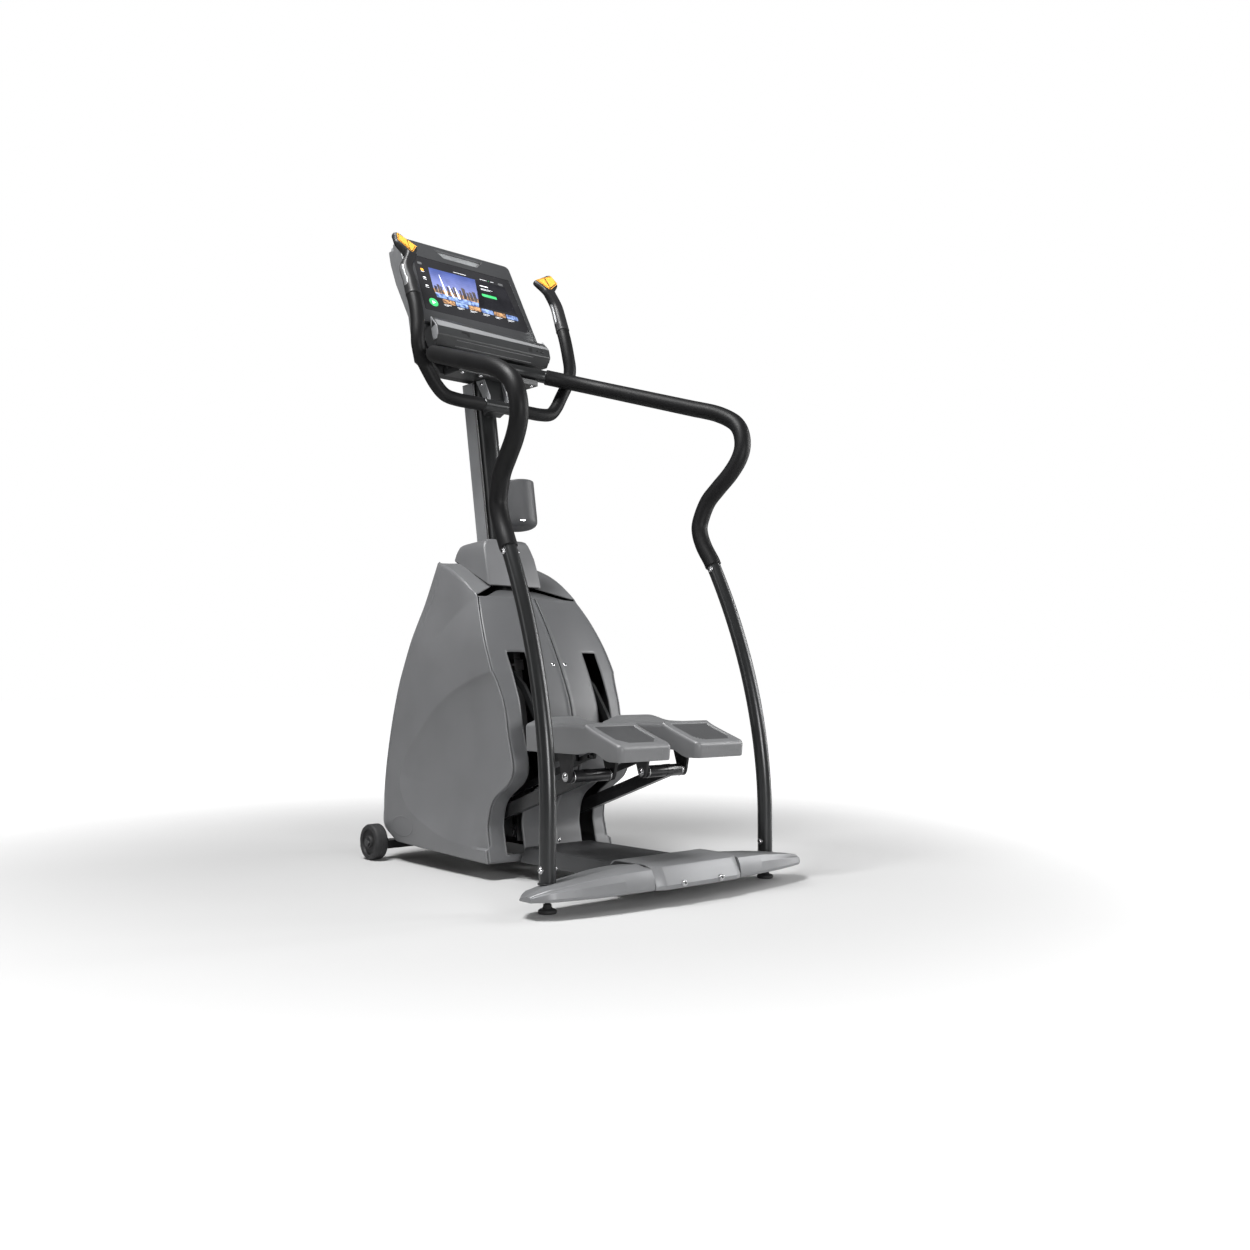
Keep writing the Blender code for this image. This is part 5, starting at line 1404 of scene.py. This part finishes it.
def make_arms():
    """Pedal arms with their pivot tubes and rings, and the levelling rods."""
    pivot_y, pivot_z = PEDAL_PIVOT
    for side, sign in SIDES:
        blade = holed_bar(bar_outline(PEDAL_PIVOT, ARM_ROOT, 0.0165),
            [disc(*PEDAL_PIVOT, 0.01, 28), disc(*ARM_ROOT, 0.0107, 28)], sign * 0.127, sign * 0.147)
        put(f"arm_blade_{side}", blade, BLACK_GLOSS, body=f"arm_{side}",
            replaces=(f"pedal_arm_{side}",), bevel=0.003, smooth=30)
        tube = [(0.01, 0.06), (0.0135, 0.06), (0.015, 0.0612), (0.0155, 0.063), (0.0155, 0.185),
            (0.015, 0.1868), (0.0135, 0.188), (0.01, 0.188)]
        put(f"arm_tube_{side}", lathe(tube, at(0, pivot_y, pivot_z), (sign, 0, 0), 48), BLACK_GLOSS,
            body=f"arm_{side}", smooth=30)
        rings = []
        for x in (0.0655, 0.18):
            rings.append(lathe([(0.015, -0.0012), (0.0158, -0.0012), (0.0162, -0.0004), (0.0162, 0.0004),
                (0.0158, 0.0012), (0.015, 0.0012)], at(sign * x, pivot_y, pivot_z), (sign, 0, 0), 48))
        put(f"arm_rings_{side}", merge(*rings), STEEL, body=f"arm_{side}")
        start = (pivot_y + ROD_OFFSET[0], pivot_z + ROD_OFFSET[1])
        end = (ARM_ROOT[0] + ROD_OFFSET[0], ARM_ROOT[1] + ROD_OFFSET[1])
        link = holed_bar(bar_outline(start, end, 0.0085),
            [disc(*start, 0.005, 28), disc(*end, 0.0068, 28)], sign * 0.1025, sign * 0.1105)
        put(f"rod_bar_{side}", link, COAT, body=f"rod_{side}",
            replaces=(f"leveling_rod_{side}",), bevel=0.0012)


make_pedals()
make_arms()


# ---- base ---------------------------------------------------------------------------
RIBBED = surface("ribbed_cover", (0.055, 0.056, 0.058), 0.06, (0.38, 0.48), (1300, 0.12))


BASE_LOW = 0.0382


def wing_ring(x, rear, front, top, crest):
    """Section of a stabilizer wing: tall steep rear face, ridge line, and a top that falls forward."""
    width = front - rear
    ridge = rear + 0.4 * width
    points = [(rear + 0.004, 0.0382), (rear, 0.04), (rear - 0.002, 0.046),
        (rear + 0.001, 0.5 * top + 0.024), (rear + 0.0085, top - 0.008), (rear + 0.01, top - 0.0052),
        (rear + 0.0128, top - 0.0038), (ridge - 0.005, crest - 0.0004), (ridge, crest),
        (ridge + 0.004, crest - 0.0018), (ridge + 0.3 * width, crest - 0.0062),
        (front - 0.01, crest - 0.0125), (front - 0.002, crest - 0.018), (front, 0.044),
        (front - 0.001, 0.0395), (front - 0.004, 0.0382)]
    return [at(x, y, max(z, BASE_LOW)) for y, z in points]


def wing(sign):
    """Cast wing from the cap to its rounded tip."""
    marks = [(0.1425, -0.115, 0.043, 0.09, 0.093), (0.2, -0.1125, 0.043, 0.089, 0.0905),
        (0.26, -0.106, 0.043, 0.0855, 0.084), (0.33, -0.095, 0.042, 0.0785, 0.0745),
        (0.404, -0.077, 0.033, 0.068, 0.064)]
    fields = smooth_path([Vector(mark[:3]) for mark in marks], 8)
    tops = smooth_path([Vector((*mark[3:], 0)) for mark in marks], 8)
    rings = [wing_ring(sign * f.x, f.y, f.z, t.x, t.y) for f, t in zip(fields, tops)]
    root, tip_y = rings[-1], REAR_FOOT_Y - 0.03
    for x, pull in ((0.418, 0.26), (0.432, 0.6), (0.4425, 0.9)):
        ring = []
        for p in root:
            y = p.y + 0.5 * pull * (tip_y - p.y)
            y += 0.35 * pull * (tip_y - y)
            ring.append(Vector((sign * x, y, BASE_LOW + (p.z - BASE_LOW) * (1 - 0.62 * pull))))
        rings.append(ring)
    return loft(rings)


def leveling_foot(sign):
    """Rubber-soled pad, nut and threaded stem, as one turned piece."""
    pad = [(0, 0), (0.0175, 0), (0.02, 0.0006), (0.0211, 0.0026), (0.0212, 0.005), (0.0202, 0.0078),
        (0.017, 0.0098), (0.012, 0.0112)]
    nut = [(0.0112, 0.0125), (0.0112, 0.0136), (0.0095, 0.014), (0.0095, 0.0205), (0.0064, 0.0212)]
    stem = [(0.0064, 0.023), (0.0056, 0.0238), (0.0064, 0.0246), (0.0056, 0.0256), (0.0064, 0.0266),
        (0.0056, 0.0276), (0.0064, 0.0286), (0.006, 0.0375), (0, 0.0375)]
    return lathe(pad + nut + stem, at(sign * FOOT_X, 0, 0), (0, 0, 1), 48)


def make_stabilizers():
    """Cast wings, the collars round the uprights' feet, and the levelling feet."""
    collar = [(0.0192, 0.0), (0.0222, 0.0), (0.0226, 0.001), (0.0222, 0.0022), (0.0204, 0.0034),
        (0.0192, 0.0034)]
    for side, sign in SIDES:
        put(f"wing_{side}", wing(sign), CAST, replaces=(f"stabilizer_{side}",),
            smooth=24)
        ring = lathe(collar, at(sign * FOOT_X, 0, 0.064), (0, 0, 1), 40)
        put(f"upright_collar_{side}", ring, BLACK_AND_SHADE)
        put(f"foot_{side}", leveling_foot(sign), RUBBER, replaces=(f"leveling_foot_{side}",),
            smooth=40)


def make_cap():
    """Cap over the wings' joint, dark plates at its ends as painted shade in the gap to each wing, and its
    bolts.
    """
    rings = []
    half = [(-0.1405, -0.001), (-0.1385, 0.0008), (-0.12, 0.0085), (-0.116, 0.01), (-0.112, 0.0108)]
    for x, grow in half + [(-x, grow) for x, grow in half[::-1]]:
        points = [(-0.114 - grow, BASE_LOW), (-0.1165 - grow, 0.0398), (-0.117 - grow, 0.049),
            (-0.1085 - grow, 0.068), (-0.099 - grow, 0.0862), (-0.0965 - grow, 0.0892),
            (-0.093 - grow, 0.0905), (-0.078, 0.094), (0.02, 0.0938), (0.034, 0.089), (0.044, 0.078),
            (0.044, BASE_LOW)]
        rings.append([at(x, y, z) for y, z in points])
    put("cap", loft(rings), CAST, replaces=("stabilizer_cap",), smooth=22, bevel=0.0012,
        segments=2)
    # Dark plates in the gap between the cap and each wing: painted shade.
    gap = [(-0.1135, 0.0384), (-0.1155, 0.047), (-0.1075, 0.066), (-0.099, 0.083), (-0.08, 0.0915),
        (0.02, 0.0912), (0.042, 0.077), (0.0425, 0.0384)]
    gap_shades = [side_plate(gap, sign * 0.14, sign * 0.144) for sign in (-1, 1)]
    put("cap_gap_shade", merge(*gap_shades), BLACK_AND_SHADE)
    bolts = []
    for sign in (-1, 1):
        place = at(sign * 0.061, -0.1276, 0.0495)
        bolts.append(lathe([(0, 0), (0.008, 0), (0.008, 0.0012), (0, 0.0012)], place, (0, -1, 0.06), 28))
        bolts.append(bolt_head(place + Vector((0, -0.001, 0)), (0, -1, 0.06), 0.0064, 0.0044))
    put("cap_bolts", merge(*bolts), STEEL)


def make_base_cover():
    """Ribbed cover over the base beam."""
    outer = [(-0.1255, 0.0425), (-0.124, 0.047), (-0.11, 0.078), (-0.106, 0.0796)]
    count = 34
    for k in range(count):
        x = -0.102 + 0.204 * k / count
        outer += [(x, 0.0788), (x + 0.0026, 0.0788), (x + 0.003, 0.0799), (x + 0.0052, 0.0799)]
    outer += [(0.103, 0.0788), (0.106, 0.0796), (0.11, 0.078), (0.124, 0.047), (0.1255, 0.0425)]
    inner = [(0.122, 0.0422), (0.1065, 0.0765), (-0.1065, 0.0765), (-0.122, 0.0422)]
    put("floor_cover", prism([at(x, 0.0455, z) for x, z in outer + inner], (0, 0.367, 0)), RIBBED,
        replaces=("base_cover",), smooth=20)


def make_wheels():
    """Transport wheels: rubber tyre with grooves, and a hub bolt."""
    for side, sign in SIDES:
        centre = at(sign * 0.2165, 0.965, 0.051)
        profile = [(0.0082, 0.0), (0.028, 0.0), (0.03, 0.0012), (0.034, 0.0022), (0.046, 0.0022),
            (0.049, 0.0034), (0.0508, 0.0062), (0.051, 0.009), (0.051, 0.0188), (0.0502, 0.0196),
            (0.0502, 0.0208), (0.051, 0.0216), (0.051, 0.032), (0.0506, 0.0352), (0.0485, 0.0382),
            (0.046, 0.0393), (0.038, 0.0395), (0.0362, 0.0385), (0.0345, 0.0335), (0.02, 0.0328),
            (0.018, 0.0338), (0.0172, 0.039), (0.016, 0.0409), (0.0082, 0.041)]
        put(f"wheel_tyre_{side}", lathe(profile, centre, (sign, 0, 0), 64), RUBBER,
            body=f"wheel_{side}", replaces=(f"transport_wheel_{side}",), smooth=35)
        hub = bolt_head(centre + Vector((sign * 0.038, 0, 0)), (sign, 0, 0), 0.0078, 0.0034)
        put(f"wheel_bolt_{side}", hub, STEEL)


make_stabilizers()
make_cap()
make_base_cover()
make_wheels()


# ---- stage --------------------------------------------------------------------------
def floor_material():
    """Pale matt floor that glows a little far out, where the lamps don't reach."""
    made = surface("studio_floor", (0.54, 0.54, 0.54), 0.004, (0.55, 0.6), (40, 0.0), 0.4, specular=0.2)
    tree = made.node_tree
    shader = tree.nodes["Principled BSDF"]
    coords = node(tree, "ShaderNodeTexCoord")
    length = node(tree, "ShaderNodeVectorMath", operation="LENGTH")
    tree.links.new(coords.outputs["Object"], length.inputs[0])
    far = node(tree, "ShaderNodeMapRange", interpolation_type="SMOOTHSTEP")
    far.inputs["From Min"].default_value = 0.8
    far.inputs["From Max"].default_value = 3.4
    far.inputs["To Max"].default_value = 0.93
    tree.links.new(length.outputs["Value"], far.inputs["Value"])
    shader.inputs["Emission Color"].default_value = (1, 1, 1, 1)
    seen = node(tree, "ShaderNodeLightPath")
    shown = node(tree, "ShaderNodeMath", operation="MULTIPLY")
    tree.links.new(far.outputs["Result"], shown.inputs[0])
    tree.links.new(seen.outputs["Is Camera Ray"], shown.inputs[1])
    tree.links.new(shown.outputs["Value"], shader.inputs["Emission Strength"])
    return made


def make_stage():
    """Pale floor, soft lights and the camera."""
    floor_mesh = bpy.data.meshes.new("floor")
    bm = bmesh.new()
    bmesh.ops.create_grid(bm, x_segments=2, y_segments=2, size=30)
    bm.to_mesh(floor_mesh)
    bm.free()
    floor_mesh.materials.append(floor_material())
    floor = bpy.data.objects.new("floor", floor_mesh)
    floor.location = (0, 0, -0.0005)
    bpy.context.scene.collection.objects.link(floor)
    for name, place, aim, size, power in (("rear_key", (-0.9, -3.9, 1.0), (0.0, -0.3, 0.4), (0.9, 0.9),
            60), ("right_key", (2.7, -2.4, 1.8), (0.0, 0.0, 0.6), (0.9, 1.4), 50),
            ("top", (-1.5, -0.1, 3.9), (0.0, 0.1, 0.6), (1.3, 1.3), 210),
            ("left_fill", (-4.0, 0.8, 1.6), (0.0, 0.2, 0.6), (1.0, 2.4), 16),
            ("strip", (2.9, -1.1, 1.3), (0.0, -0.2, 0.8), (0.3, 2.6), 40)):
        lamp = bpy.data.lights.new(name, "AREA")
        lamp.shape = "RECTANGLE"
        lamp.size, lamp.size_y = size
        lamp.energy = power
        holder = bpy.data.objects.new(name, lamp)
        holder.location = place
        holder.rotation_euler = (Vector(aim) - Vector(place)).to_track_quat("-Z", "Y").to_euler()
        bpy.context.scene.collection.objects.link(holder)
    world = bpy.data.worlds.new("studio")
    world.use_nodes = True
    tree = world.node_tree
    tree.nodes["Background"].inputs["Color"].default_value = (1, 1, 1, 1)
    seen = node(tree, "ShaderNodeLightPath")
    tree.links.new(spread(tree, seen.outputs["Is Camera Ray"], 0.15, 1.0),
        tree.nodes["Background"].inputs["Strength"])
    bpy.context.scene.world = world
    bpy.context.scene.view_settings.view_transform = "Standard"
    camera = bpy.data.objects.new("camera", bpy.data.cameras.new("camera"))
    camera.data.lens = 34.619
    camera.data.sensor_width = 36
    camera.location = (-2.01883, -2.55916, 0.51434)
    camera.rotation_euler = (math.radians(90 + 2.64), 0, math.radians(-41.758))
    bpy.context.scene.collection.objects.link(camera)
    bpy.context.scene.camera = camera


make_stage()
